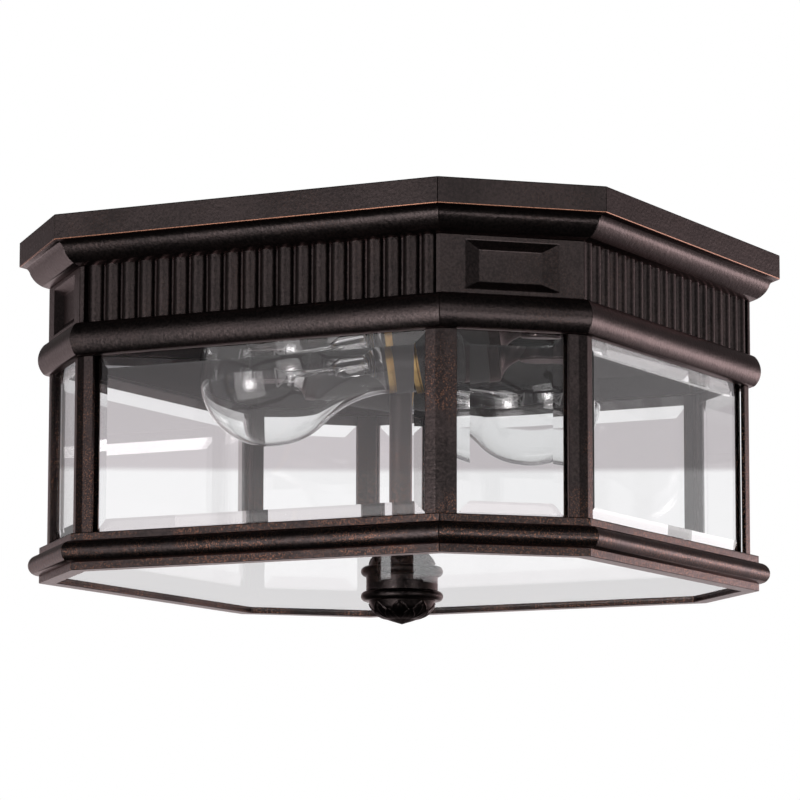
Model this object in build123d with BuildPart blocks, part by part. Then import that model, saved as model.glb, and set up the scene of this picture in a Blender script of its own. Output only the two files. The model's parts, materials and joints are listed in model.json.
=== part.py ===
"""Flush mount ceiling light: an eight-sided glazed lantern with two lamps, hung from a ceiling.

Millimetres. The origin is the centre of the ceiling plane and the light hangs towards -Z. The wide faces look
along +X, -X, +Y and -Y, the narrow corner faces along the diagonals, and the front face looks along -Y.
"""

import os
from math import atan2, cos, degrees, radians, sin, sqrt

from build123d import *

# Plan of the ceiling rim. Every other tier is set back from it by an inset, the same on all eight faces
HALF_WIDTH = 146.0  # axis to each wide face
CORNER_FACE = 74.0  # width of each corner face

# Heights of the tiers, from the ceiling down
RIM_HEIGHT = 11.3
OGEE_HEIGHT = 10.0
FRIEZE_HEIGHT = 24.9
BELT_HEIGHT = 14.8
POST_HEIGHT = 77.3
BAND_HEIGHT = 3.3
ROLL_HEIGHT = 9.5
LIP_HEIGHT = 3.3

# Ceiling rim and cornice moulding
RIM_WALL = 2.5
RIM_FLANGE = 8.0
RIM_FLANGE_THICKNESS = 2.0
EDGE_BREAK = 0.5
OGEE_TOP_INSET = 1.2
COVE_INSET = 4.6
COVE_DROP = 3.3
COVE_SAGITTA = 0.75
OVOLO_SAGITTA = 1.7
OGEE_WALL = 2.3

# Frieze: shell, reeded panels and corner panels
BODY_INSET = 12.85  # face of the frieze and of the posts
REED_COUNT = 20
REED_WIDTH = 7.4
REED_PROUD = 3.3
REED_BACKING = 0.9
SHELL_WALL = 2.0
CORNER_BLOCK = 5.65  # thickness of a corner panel
CORNER_WRAP = 2.2  # how far a corner panel turns onto the wide faces
PANEL_GAP = 0.15
FIELD_WIDTH = 41.4
FIELD_HEIGHT = 20.5
FIELD_SLOPE_SIDE = 6.8
FIELD_SLOPE_END = 3.4
FIELD_DEPTH = 3.2

# Belt moulding
BELT_PROUD = 4.5
BELT_END_ROUND = 3.0
BELT_LEDGE = 7.0  # shelf over the top edges of the panes
BELT_LEDGE_THICKNESS = 10.3

# Corner posts, three equal facets each
POST_FACET = 4.65
POST_FLANGE = 4.75
POST_THICKNESS = 2.0

# Panes
PANE_THICKNESS = 4.0
PANE_BEVEL = 10.0
PANE_BEVEL_DEPTH = 1.75
PANE_SIDE_LAP = 3.8  # hidden behind each post flange
PANE_END_LAP = 4.1  # hidden behind the belt and in the lower groove
PANE_CLEARANCE = 0.2
RETAINER_WING = 5.2  # how far a retainer laps onto each of its two panes
RETAINER_SHEET = 1.0

# Lower frame
BAND_INSET = 10.1
ROLL_PROUD = 4.7
LIP_WIDTH = 7.5
SHELF_WIDTH = 5.4
SHELF_DROP = 1.5  # inner lip of the pane groove, below the band's top
GROOVE_FLOOR = 0.2  # under the panes' lower edges

# Glass floor and what holds it
FLOOR_THICKNESS = 4.0
FLOOR_SIDE_CLEARANCE = 0.5
FLOOR_TOP_CLEARANCE = 0.3
FLOOR_RECESS = 1.5  # lower face of the glass above the lip's underside
BUSH_RADIUS = 7.2
BUSH_FLANGE = 9.5
BUSH_FLANGE_HEIGHT = 1.4
COLLAR_RADIUS = 16.1
COLLAR_HEIGHT = 3.1

# Finial
BEAD_RADIUS = 18.5
BEAD_HEIGHT = 4.4
DOME_RADIUS = 14.9
DOME_SHOULDER = 13.9
SHOULDER_DROP = 2.9
DOME_DROP = 7.4
DOME_SAGITTA = 1.1
TIP_RADIUS = 6.0
TIP_HEIGHT = 2.1
LEAF_COUNT = 8
LEAF_HALF_WIDTH = 4.7
LEAF_TOP_GAP = 0.7
LEAF_PROUD = 0.8
FINIAL_GAP = 0.3
FINIAL_BORE_ROOF = 4.2  # solid metal between the bore and the tip

# Stem, pan and mounting hardware
STEM_RADIUS = 5.15
STEM_BORE = 3.4
THREAD_FIT = 0.05
RUNNING_FIT = 0.35
STEM_END_GAP = 0.6
NUT_RADIUS = 9.2
NUT_HEIGHT = 4.0
PAN_DEPTH = 28.8  # ceiling to the top of the pan
PAN_SHEET = 1.2
PAN_RIM = 6.8
PAN_CLEARANCE = 0.2
PAN_SCREW_RADIUS = 1.6
PAN_SCREW_HEAD = 3.0
PAN_SCREW_HEAD_HEIGHT = 1.8
SCREW_FIT = 0.1
BAR_WIDTH = 25.0
BAR_LENGTH = 150.0
BAR_THICKNESS = 2.5
SLOT_SPACING = 80.0
SLOT_LENGTH = 24.0
SLOT_WIDTH = 4.8
STUD_SPACING = 124.0
STUD_RADIUS = 2.0
STUD_TAIL = 7.0  # thread below the pan
CAP_NUT_RADIUS = 5.4
CAP_NUT_HEX = 5.0
CAP_NUT_SKIN = 1.5
GROUND_SCREW_OFFSET = 17.0
GROUND_SCREW_RADIUS = 2.0
GROUND_SCREW_HEAD = 4.2
GROUND_SCREW_HEAD_HEIGHT = 2.6

# Lamp arms and sockets. Distances along a lamp are from its arm's upright axis
ARM_REACH = 68.8  # fixture axis to each arm
LAMP_SWING = 28.8  # degrees in plan, past the stem
LAMP_DIP = 8.5  # degrees below level
ARM_DROP = 16.9  # pan to the lamp axis, at the arm
CUP_RADIUS = 9.3
CUP_HEIGHT = 26.5
CUP_EDGE = 1.2
NIPPLE_RADIUS = 5.0
NIPPLE_LENGTH = 8.0
LEAD_BORE = 3.2
NECK_RADIUS = 7.6
NECK_END = 8.0
FLARE_END = 20.0
FLARE_SAGITTA = 2.2
ARM_CAP_RADIUS = 15.6
ARM_CAP_LENGTH = 5.0
SOCKET_RADIUS = 15.1
SOCKET_FLOOR = 14.6  # thickness of the socket's back wall
SHELL_RADIUS = 14.1
SHELL_SKIN = 0.4
SHELL_LIP = 0.6
CONTACT_RADIUS = 4.0
CONTACT_HEIGHT = 1.0

# Lamps: clear pear-shaped envelopes on screw bases
LAMP_SEAT = 0.3  # foot contact above the socket contact
LAMP_RIM_GAP = 0.4  # socket shell to the base's collar
FOOT_RADIUS = 4.6
FOOT_TOP_RADIUS = 9.6
FOOT_HEIGHT = 3.6
THREAD_PITCH = 3.63
THREAD_TURNS = 6
THREAD_CREST = 13.2
THREAD_ROOT = 12.4
BASE_SKIN = 0.6
BASE_COLLAR = 14.2
BASE_COLLAR_HEIGHT = 2.2
ENVELOPE_NECK = 14.0
ENVELOPE_SKIN = 0.8
NECK_STRAIGHT = 2.8
NECK_BLEND = 46.0
GLOBE_RADIUS = 30.2
GLOBE_STRAIGHT = 2.8
MOUNT_FOOT_GAP = 0.3
MOUNT_FOOT_HEIGHT = 1.5
MOUNT_TUBE_RADIUS = 4.6
MOUNT_TUBE_FROM = 9.0
MOUNT_TUBE_TO = 20.0
MOUNT_ROD_RADIUS = 1.5
MOUNT_ROD_FROM = 25.0
MOUNT_ROD_TO = 41.0
MOUNT_BUTTON_RADIUS = 2.3
MOUNT_BUTTON_HEIGHT = 2.8
WIRE_RADIUS = 0.35
LEAD_FOOT = 2.6
LEAD_FROM = 18.0
FILAMENT_SPREAD = 13.0
FILAMENT_AT = 45.0
FILAMENT_RISE = 4.0
SUPPORT_SPREAD = 5.0
SUPPORT_TWIST = 3.5

# Levels and reaches worked out from the sizes above
Z_RIM = -RIM_HEIGHT
Z_OGEE = Z_RIM - OGEE_HEIGHT
Z_FRIEZE = Z_OGEE - FRIEZE_HEIGHT
Z_BELT = Z_FRIEZE - BELT_HEIGHT
Z_LEDGE = Z_FRIEZE - BELT_LEDGE_THICKNESS
Z_BAND = Z_BELT - POST_HEIGHT
Z_ROLL = Z_BAND - BAND_HEIGHT
Z_LIP_TOP = Z_ROLL - ROLL_HEIGHT
Z_LIP = Z_LIP_TOP - LIP_HEIGHT
Z_PAN_TOP = -PAN_DEPTH
Z_PAN = Z_PAN_TOP - PAN_SHEET
Z_FLOOR_LOW = Z_LIP + FLOOR_RECESS
Z_FLOOR_TOP = Z_FLOOR_LOW + FLOOR_THICKNESS
Z_SHELF = Z_FLOOR_TOP + FLOOR_TOP_CLEARANCE
Z_COLLAR = Z_FLOOR_LOW - COLLAR_HEIGHT
Z_FINIAL_TOP = Z_COLLAR - FINIAL_GAP
Z_DOME = Z_FINIAL_TOP - BEAD_HEIGHT
Z_SHOULDER = Z_DOME - SHOULDER_DROP
Z_TIP = Z_SHOULDER - DOME_DROP
Z_BORE_END = Z_TIP + FINIAL_BORE_ROOF
Z_STEM_END = Z_BORE_END + STEM_END_GAP
Z_ARM_AXIS = Z_PAN - ARM_DROP

MITRE = 22.5  # degrees, half the turn between two neighbouring faces
CORNER_REACH = sqrt(2) * HALF_WIDTH - CORNER_FACE / 2
SHELL_INSET = BODY_INSET + REED_PROUD + REED_BACKING
CORNER_SHELL_INSET = BODY_INSET + CORNER_BLOCK
PANE_INSET = BODY_INSET + POST_THICKNESS + PANE_CLEARANCE
PANE_BACK_INSET = PANE_INSET + PANE_THICKNESS
SEAT_INSET = PANE_INSET - PANE_CLEARANCE / 2  # walls just outside the panes
LIP_INNER_INSET = BAND_INSET + LIP_WIDTH
BODY_REACH = HALF_WIDTH - BODY_INSET
POST_CUT = POST_FACET / (2 * cos(radians(MITRE)))
FLANGE_END = POST_CUT + POST_FLANGE

SOCKET_FROM = FLARE_END + ARM_CAP_LENGTH
SOCKET_CONTACT = SOCKET_FROM + SOCKET_FLOOR
FOOT_FROM = SOCKET_CONTACT + CONTACT_HEIGHT + LAMP_SEAT
BASE_FROM = FOOT_FROM + FOOT_HEIGHT
COLLAR_FROM = BASE_FROM + THREAD_PITCH * THREAD_TURNS
SOCKET_MOUTH = COLLAR_FROM - LAMP_RIM_GAP - SHELL_LIP
BASE_RIM = COLLAR_FROM + BASE_COLLAR_HEIGHT
NECK_TOP = BASE_RIM + NECK_STRAIGHT

# Section plane of the front face: first axis outward from the fixture axis, second axis up
SECTION = Plane(origin=(0, 0, 0), x_dir=(0, -1, 0), z_dir=(-1, 0, 0))
WIDE_SIDES = {"front": 0, "right": 90, "back": 180, "left": 270}
CORNER_SIDES = {"front_right": 45, "back_right": 135, "back_left": 225, "front_left": 315}
POST_NAMES = [
    "front_right", "right_front", "right_back", "back_right",
    "back_left", "left_back", "left_front", "front_left",
]
LAMP_SIDES = {"1": 1, "2": -1}

os.makedirs("parts", exist_ok=True)


def save(part, name):
    """Label a finished piece and write it under its own name."""
    part.label = name
    export_step(part, f"parts/{name}.step")


def side_end(inset):
    """Half the length of a wide face at an inset."""
    return sqrt(2) * (CORNER_REACH - inset) - (HALF_WIDTH - inset)


def corner_half(inset):
    """Half the length of a corner face at an inset."""
    return (HALF_WIDTH - inset - side_end(inset)) / sqrt(2)


def octagon(face_inset, corner_inset):
    """The eight corners of the plan, set back on its wide faces and on its corner faces."""
    face = HALF_WIDTH - face_inset
    end = sqrt(2) * (CORNER_REACH - corner_inset) - face
    quarter = [(end, -face), (face, -end)]
    return [
        (x * cos(a) - y * sin(a), x * sin(a) + y * cos(a))
        for a in (radians(90 * i) for i in range(4))
        for x, y in quarter
    ]


def outward(turn):
    """Horizontal direction that a face looks in, turned from the front face."""
    return Vector(sin(radians(turn)), -cos(radians(turn)), 0)


def along(turn):
    """Horizontal direction along a face, to the right as seen from outside."""
    return Vector(cos(radians(turn)), sin(radians(turn)), 0)


def face_plane(turn, reach, z):
    """Upright plane of a face: first axis along the face, second axis up, looking outward."""
    return Plane(origin=outward(turn) * reach + Vector(0, 0, z), x_dir=along(turn), z_dir=outward(turn))


def floor_plane(turn, z):
    """Level plane at a height: second axis outward through a face."""
    return Plane(origin=(0, 0, z), x_dir=-along(turn), z_dir=(0, 0, 1))


def corner_plane(index, inset, z):
    """Level plane at one corner of the plan: first axis across the corner, second axis outward."""
    bisector = MITRE + 2 * MITRE * index
    return Plane(origin=(*octagon(inset, inset)[index], z), x_dir=-along(bisector), z_dir=(0, 0, 1))


def side_section(turn, place):
    """Upright plane across a face at a place along it: first axis outward, second axis up."""
    return Plane(origin=along(turn) * place, x_dir=outward(turn), z_dir=-along(turn))


def moulding(draw_section):
    """A mitred ring: a section, drawn out from a face's reach, run along the eight faces."""
    lengths = []
    for turn, reach, half in ((0, HALF_WIDTH, side_end(0)), (45, CORNER_REACH, corner_half(0))):
        with BuildPart() as length:
            with BuildSketch(side_section(turn, 0)):
                with BuildLine():
                    draw_section(reach)
                make_face()
            extrude(amount=half, both=True)
            for way in (-1, 1):
                mitre = turn + way * MITRE
                end = outward(turn) * reach + along(turn) * way * half
                split(bisect_by=Plane(origin=end, z_dir=along(mitre) * way), keep=Keep.BOTTOM)
        lengths.append(length.part)
    with BuildPart() as ring:
        with PolarLocations(0, len(WIDE_SIDES)):
            add(lengths)
    return ring.part


def rim_section(reach):
    """An upright band with a flange turned inward at its foot."""
    Polyline(
        (reach - EDGE_BREAK, 0),
        (reach, -EDGE_BREAK),
        (reach, Z_RIM + EDGE_BREAK),
        (reach - EDGE_BREAK, Z_RIM),
        (reach - RIM_FLANGE, Z_RIM),
        (reach - RIM_FLANGE, Z_RIM + RIM_FLANGE_THICKNESS),
        (reach - RIM_WALL, Z_RIM + RIM_FLANGE_THICKNESS),
        (reach - RIM_WALL, 0),
        close=True,
    )


def cornice_section(reach):
    """A hollow above a quarter round, cast thin, with a foot that the frieze hangs from."""
    foot = reach - CORNER_SHELL_INSET - SHELL_WALL
    ogee_end = reach - BODY_INSET + PANEL_GAP
    cove = SagittaArc((reach - OGEE_TOP_INSET, Z_RIM), (reach - COVE_INSET, Z_RIM - COVE_DROP), -COVE_SAGITTA)
    ovolo = SagittaArc(cove @ 1, (ogee_end, Z_OGEE), OVOLO_SAGITTA)
    Polyline(
        ovolo @ 1,
        (foot, Z_OGEE),
        (foot, Z_OGEE + OGEE_WALL),
        (ogee_end, Z_OGEE + OGEE_WALL),
        (reach - COVE_INSET - OGEE_WALL, Z_RIM - COVE_DROP),
        (reach - COVE_INSET - OGEE_WALL, Z_RIM),
        cove @ 0,
    )


def belt_section(reach):
    """A rounded band, three tangent arcs high, stepped inside so that the panes slip up behind it."""
    face = reach - BODY_INSET
    seat = reach - SEAT_INSET
    ledge = seat - BELT_LEDGE
    middle = Z_FRIEZE - BELT_HEIGHT / 2
    rise = BELT_HEIGHT / 2 - BELT_END_ROUND
    crown = (BELT_PROUD**2 + rise**2 - BELT_END_ROUND**2) / (2 * (BELT_PROUD - BELT_END_ROUND))
    swing = degrees(atan2(rise, crown - BELT_PROUD))
    CenterArc((face, middle - rise), BELT_END_ROUND, -90, 90 - swing)
    CenterArc((face + BELT_PROUD - crown, middle), crown, -swing, 2 * swing)
    CenterArc((face, middle + rise), BELT_END_ROUND, swing, 90 - swing)
    Polyline(
        (face, Z_FRIEZE),
        (ledge, Z_FRIEZE),
        (ledge, Z_LEDGE),
        (seat, Z_LEDGE),
        (seat, Z_BELT),
        (face, Z_BELT),
    )


def frame_section(reach):
    """Band, roll and lip outside, a groove for the panes and a shelf over the glass floor inside."""
    band = reach - BAND_INSET
    seat = reach - SEAT_INSET
    groove = reach - PANE_BACK_INSET - PANE_CLEARANCE
    lip = reach - LIP_INNER_INSET
    shelf = lip - SHELF_WIDTH
    z_groove = Z_BAND - PANE_END_LAP - GROOVE_FLOOR
    ThreePointArc((band, Z_LIP_TOP), (band + ROLL_PROUD, Z_ROLL - ROLL_HEIGHT / 2), (band, Z_ROLL))
    Polyline(
        (band, Z_ROLL),
        (band, Z_BAND),
        (seat, Z_BAND),
        (seat, z_groove),
        (groove, z_groove),
        (groove, Z_BAND - SHELF_DROP),
        (shelf, Z_BAND - SHELF_DROP),
        (shelf, Z_SHELF),
        (lip, Z_SHELF),
        (lip, Z_LIP),
        (band, Z_LIP),
        (band, Z_LIP_TOP),
    )


# Mitred mouldings, from the ceiling down
save(moulding(rim_section), "ceiling_rim")
save(moulding(cornice_section), "cornice_moulding")
save(moulding(belt_section), "belt_moulding")
save(moulding(frame_section), "lower_frame")

# Frieze shell: the plain wall behind the frieze panels, with a hole for each pan screw
screw_z = Z_PAN_TOP + PAN_RIM / 2
with BuildPart() as frieze_shell:
    with BuildSketch(Plane.XY.offset(Z_FRIEZE)):
        Polygon(*octagon(SHELL_INSET, CORNER_SHELL_INSET), align=None)
        Polygon(
            *octagon(SHELL_INSET + SHELL_WALL, CORNER_SHELL_INSET + SHELL_WALL),
            align=None,
            mode=Mode.SUBTRACT,
        )
    extrude(amount=FRIEZE_HEIGHT)
    for turn in WIDE_SIDES.values():
        with BuildSketch(face_plane(turn, HALF_WIDTH - SHELL_INSET, screw_z)):
            Circle(PAN_SCREW_RADIUS + SCREW_FIT)
        extrude(amount=-SHELL_WALL, mode=Mode.SUBTRACT)
save(frieze_shell.part, "frieze_shell")

# Reeded panels: half-round reeds side by side on a thin backing
panel_width = 2 * (side_end(BODY_INSET) - CORNER_WRAP - PANEL_GAP)
reed_pitch = panel_width / REED_COUNT
reed_radius = (REED_WIDTH**2 / 4 + REED_PROUD**2) / (2 * REED_PROUD)
reed_valley = BODY_REACH - REED_PROUD
for side, turn in WIDE_SIDES.items():
    with BuildPart() as reeded_panel:
        with BuildSketch(floor_plane(turn, Z_FRIEZE)):
            with Locations((0, BODY_REACH - reed_radius)):
                with GridLocations(reed_pitch, 1, REED_COUNT, 1):
                    Circle(reed_radius)
            with Locations((0, BODY_REACH - REED_PROUD / 2)):
                Rectangle(panel_width, REED_PROUD, mode=Mode.INTERSECT)
            with Locations((0, reed_valley - REED_BACKING / 2)):
                Rectangle(panel_width, REED_BACKING)
        extrude(amount=FRIEZE_HEIGHT)
    save(reeded_panel.part, f"reeded_panel_{side}")

# Corner panels: blocks that turn the corners, each with a sunken field inside sloping walls
corner_face = CORNER_REACH - BODY_INSET
block_half = corner_half(BODY_INSET)
wrap_step = CORNER_WRAP / sqrt(2)
block_step = (SHELL_INSET - BODY_INSET) / sqrt(2)
shell_corner = octagon(SHELL_INSET, CORNER_SHELL_INSET)
shell_half = (Vector(*shell_corner[0]) - Vector(*shell_corner[1])).length / 2
block_right = [
    (shell_half, CORNER_REACH - CORNER_SHELL_INSET),
    (block_half + wrap_step - block_step, corner_face - wrap_step - block_step),
    (block_half + wrap_step, corner_face - wrap_step),
    (block_half, corner_face),
]
block_outline = block_right + [(-x, y) for x, y in reversed(block_right)]
field_z = Z_FRIEZE + FRIEZE_HEIGHT / 2
for side, turn in CORNER_SIDES.items():
    with BuildPart() as corner_panel:
        with BuildSketch(floor_plane(turn, Z_FRIEZE)):
            Polygon(*block_outline, align=None)
        extrude(amount=FRIEZE_HEIGHT)
        with BuildSketch(face_plane(turn, corner_face, field_z)):
            Rectangle(FIELD_WIDTH, FIELD_HEIGHT)
        with BuildSketch(face_plane(turn, corner_face - FIELD_DEPTH, field_z)):
            Rectangle(FIELD_WIDTH - 2 * FIELD_SLOPE_SIDE, FIELD_HEIGHT - 2 * FIELD_SLOPE_END)
        loft(ruled=True, mode=Mode.SUBTRACT)
    save(corner_panel.part, f"corner_panel_{side}")

# Corner posts: strips of three facets, folded round each corner of the glazing
post_cos = cos(radians(MITRE))
post_sin = sin(radians(MITRE))
flange_x = FLANGE_END * post_cos - POST_THICKNESS * post_sin
flange_y = -FLANGE_END * post_sin - POST_THICKNESS * post_cos
post_outline = [
    (-FLANGE_END * post_cos, -FLANGE_END * post_sin),
    (-POST_CUT * post_cos, -POST_CUT * post_sin),
    (POST_CUT * post_cos, -POST_CUT * post_sin),
    (FLANGE_END * post_cos, -FLANGE_END * post_sin),
    (flange_x, flange_y),
    (0, -POST_THICKNESS / post_cos),
    (-flange_x, flange_y),
]
for index, name in enumerate(POST_NAMES):
    with BuildPart() as post:
        with BuildSketch(corner_plane(index, BODY_INSET, Z_BAND)):
            Polygon(*post_outline, align=None)
        extrude(amount=POST_HEIGHT)
    save(post.part, f"post_{name}")

# Panes: plate glass with a wide bevel round the outer face
pane_height = POST_HEIGHT + 2 * PANE_END_LAP
pane_z = Z_BELT - POST_HEIGHT / 2
pane_slab = PANE_THICKNESS - PANE_BEVEL_DEPTH
wide_pane_width = 2 * (side_end(BODY_INSET) - FLANGE_END + PANE_SIDE_LAP)
corner_pane_width = 2 * (corner_half(BODY_INSET) - FLANGE_END + PANE_SIDE_LAP)
panes = [(f"pane_{side}", turn, HALF_WIDTH, wide_pane_width) for side, turn in WIDE_SIDES.items()]
panes += [(f"pane_{side}", turn, CORNER_REACH, corner_pane_width) for side, turn in CORNER_SIDES.items()]
for name, turn, reach, pane_width in panes:
    pane_back = reach - PANE_BACK_INSET
    with BuildPart() as pane:
        with BuildSketch(face_plane(turn, pane_back, pane_z)):
            Rectangle(pane_width, pane_height)
        extrude(amount=pane_slab)
        with BuildSketch(face_plane(turn, pane_back + pane_slab, pane_z)):
            Rectangle(pane_width, pane_height)
        with BuildSketch(face_plane(turn, pane_back + PANE_THICKNESS, pane_z)):
            Rectangle(pane_width - 2 * PANE_BEVEL, pane_height - 2 * PANE_BEVEL)
        loft(ruled=True)
    save(pane.part, name)

# Pane retainers: folded strips inside the corners, from the lower frame up to the belt's ledge
retainer_foot = Z_BAND - SHELF_DROP
retainer_x = RETAINER_WING * post_cos - RETAINER_SHEET * post_sin
retainer_y = -RETAINER_WING * post_sin - RETAINER_SHEET * post_cos
retainer_outline = [
    (-RETAINER_WING * post_cos, -RETAINER_WING * post_sin),
    (0, 0),
    (RETAINER_WING * post_cos, -RETAINER_WING * post_sin),
    (retainer_x, retainer_y),
    (0, -RETAINER_SHEET / post_cos),
    (-retainer_x, retainer_y),
]
with BuildPart() as retainers:
    for index in range(len(POST_NAMES)):
        with BuildSketch(corner_plane(index, PANE_BACK_INSET + PANE_CLEARANCE, retainer_foot)):
            Polygon(*retainer_outline, align=None)
        extrude(amount=Z_LEDGE - retainer_foot)
save(retainers.part, "pane_retainers")

# Ceiling pan: a sheet tray with its rim turned up against the frieze shell
pan_face = SHELL_INSET + SHELL_WALL + PAN_CLEARANCE
pan_corner = CORNER_SHELL_INSET + SHELL_WALL + PAN_CLEARANCE
with BuildPart() as ceiling_pan:
    with BuildSketch(Plane.XY.offset(Z_PAN)):
        Polygon(*octagon(pan_face, pan_corner), align=None)
    extrude(amount=PAN_SHEET + PAN_RIM)
    with BuildSketch(Plane.XY.offset(Z_PAN_TOP)):
        Polygon(*octagon(pan_face + PAN_SHEET, pan_corner + PAN_SHEET), align=None)
    extrude(amount=PAN_RIM, mode=Mode.SUBTRACT)
    with BuildSketch(Plane.XY.offset(Z_PAN)):
        Circle(STEM_RADIUS + SCREW_FIT)
        with Locations((-ARM_REACH, 0), (ARM_REACH, 0)):
            Circle(NIPPLE_RADIUS + SCREW_FIT)
        with Locations((0, -STUD_SPACING / 2), (0, STUD_SPACING / 2)):
            Circle(STUD_RADIUS + SCREW_FIT)
    extrude(amount=PAN_SHEET, mode=Mode.SUBTRACT)
    for turn in WIDE_SIDES.values():
        with BuildSketch(face_plane(turn, HALF_WIDTH - pan_face, screw_z)):
            Circle(PAN_SCREW_RADIUS + SCREW_FIT)
        extrude(amount=-PAN_SHEET, mode=Mode.SUBTRACT)
save(ceiling_pan.part, "ceiling_pan")

# Pan screws: through the pan's rim into the frieze shell, one on each wide side
with BuildPart() as pan_screws:
    for turn in WIDE_SIDES.values():
        head_reach = HALF_WIDTH - pan_face - PAN_SHEET
        with BuildSketch(face_plane(turn, head_reach, screw_z)):
            Circle(PAN_SCREW_HEAD)
        extrude(amount=-PAN_SCREW_HEAD_HEIGHT)
        with BuildSketch(face_plane(turn, head_reach, screw_z)):
            Circle(PAN_SCREW_RADIUS)
        extrude(amount=PAN_SHEET + PAN_CLEARANCE + SHELL_WALL)
save(pan_screws.part, "pan_screws")

# Mounting bar: slotted strap for the outlet box, tapped for the stem, the studs and the ground screw
stud_places = [(0, -STUD_SPACING / 2), (0, STUD_SPACING / 2)]
with BuildPart() as mounting_bar:
    with BuildSketch(Plane.XY.offset(-BAR_THICKNESS)):
        SlotOverall(BAR_LENGTH, BAR_WIDTH, rotation=90)
        Circle(STEM_RADIUS + THREAD_FIT, mode=Mode.SUBTRACT)
        with Locations((0, -SLOT_SPACING / 2), (0, SLOT_SPACING / 2)):
            SlotOverall(SLOT_LENGTH, SLOT_WIDTH, rotation=90, mode=Mode.SUBTRACT)
        with Locations(*stud_places):
            Circle(STUD_RADIUS + THREAD_FIT, mode=Mode.SUBTRACT)
        with Locations((0, GROUND_SCREW_OFFSET)):
            Circle(GROUND_SCREW_RADIUS + THREAD_FIT, mode=Mode.SUBTRACT)
    extrude(amount=BAR_THICKNESS)
save(mounting_bar.part, "mounting_bar")

# Mounting studs and their cap nuts under the pan
with BuildPart() as studs:
    with BuildSketch(Plane.XY.offset(Z_PAN - STUD_TAIL)):
        with Locations(*stud_places):
            Circle(STUD_RADIUS)
    extrude(amount=-Z_PAN + STUD_TAIL)
save(studs.part, "mounting_studs")

cap_bore = STUD_TAIL + CAP_NUT_SKIN / 2
with BuildPart() as cap_nuts:
    with BuildSketch(Plane.XY.offset(Z_PAN)):
        with Locations(*stud_places):
            RegularPolygon(CAP_NUT_RADIUS, 6)
    extrude(amount=-CAP_NUT_HEX)
    with Locations(*[(x, y, Z_PAN - cap_bore) for x, y in stud_places]):
        Sphere(STUD_RADIUS + CAP_NUT_SKIN)
    with BuildSketch(Plane.XY.offset(Z_PAN)):
        with Locations(*stud_places):
            Circle(STUD_RADIUS + CAP_NUT_SKIN)
    extrude(amount=-cap_bore)
    with BuildSketch(Plane.XY.offset(Z_PAN)):
        with Locations(*stud_places):
            Circle(STUD_RADIUS + THREAD_FIT)
    extrude(amount=-cap_bore, mode=Mode.SUBTRACT)
save(cap_nuts.part, "stud_cap_nuts")

# Ground screw under the mounting bar
with BuildPart() as ground_screw:
    with BuildSketch(Plane.XY.offset(-BAR_THICKNESS)):
        with Locations((0, GROUND_SCREW_OFFSET)):
            Circle(GROUND_SCREW_RADIUS)
    extrude(amount=BAR_THICKNESS)
    with BuildSketch(Plane.XY.offset(-BAR_THICKNESS)):
        with Locations((0, GROUND_SCREW_OFFSET)):
            RegularPolygon(GROUND_SCREW_HEAD, 6)
    extrude(amount=-GROUND_SCREW_HEAD_HEIGHT)
save(ground_screw.part, "ground_screw")

# Stem: threaded pipe from the mounting bar to the finial
with BuildPart() as stem:
    with BuildSketch(Plane.XY.offset(Z_STEM_END)):
        Circle(STEM_RADIUS)
        Circle(STEM_BORE, mode=Mode.SUBTRACT)
    extrude(amount=-Z_STEM_END)
save(stem.part, "stem")

# Lock nuts: three on the stem, at the bar and on both sides of the pan, and one on each arm's nipple
with BuildPart() as lock_nuts:
    for z in (-BAR_THICKNESS, Z_PAN_TOP + NUT_HEIGHT, Z_PAN):
        with BuildSketch(Plane.XY.offset(z)):
            RegularPolygon(NUT_RADIUS, 6)
            Circle(STEM_RADIUS + THREAD_FIT, mode=Mode.SUBTRACT)
        extrude(amount=-NUT_HEIGHT)
    with BuildSketch(Plane.XY.offset(Z_PAN_TOP)):
        with Locations((-ARM_REACH, 0), (ARM_REACH, 0)):
            RegularPolygon(NUT_RADIUS, 6)
            Circle(NIPPLE_RADIUS + THREAD_FIT, mode=Mode.SUBTRACT)
    extrude(amount=NUT_HEIGHT)
save(lock_nuts.part, "lock_nuts")


def lamp_direction(side):
    """Direction along a lamp, from its arm towards its tip."""
    level = cos(radians(LAMP_DIP))
    swing = radians(LAMP_SWING)
    return Vector(-side * cos(swing) * level, -side * sin(swing) * level, -sin(radians(LAMP_DIP)))


def lamp_cross(side):
    """Level direction across a lamp."""
    return Vector(side * sin(radians(LAMP_SWING)), -side * cos(radians(LAMP_SWING)), 0)


def lamp_section(side):
    """Plane through a lamp's axis: first axis is the radius, second axis the distance from the arm."""
    across = lamp_cross(side)
    return Plane(
        origin=(side * ARM_REACH, 0, Z_ARM_AXIS), x_dir=across, z_dir=across.cross(lamp_direction(side))
    )


def lamp_axis(side):
    """Axis of a lamp and of its socket."""
    return Axis((side * ARM_REACH, 0, Z_ARM_AXIS), lamp_direction(side))


def lamp_point(side, across, above, distance):
    """A point beside a lamp's axis, at a distance from its arm."""
    direction = lamp_direction(side)
    upward = direction.cross(lamp_cross(side))
    start = Vector(side * ARM_REACH, 0, Z_ARM_AXIS)
    return start + lamp_cross(side) * across + upward * above + direction * distance


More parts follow.
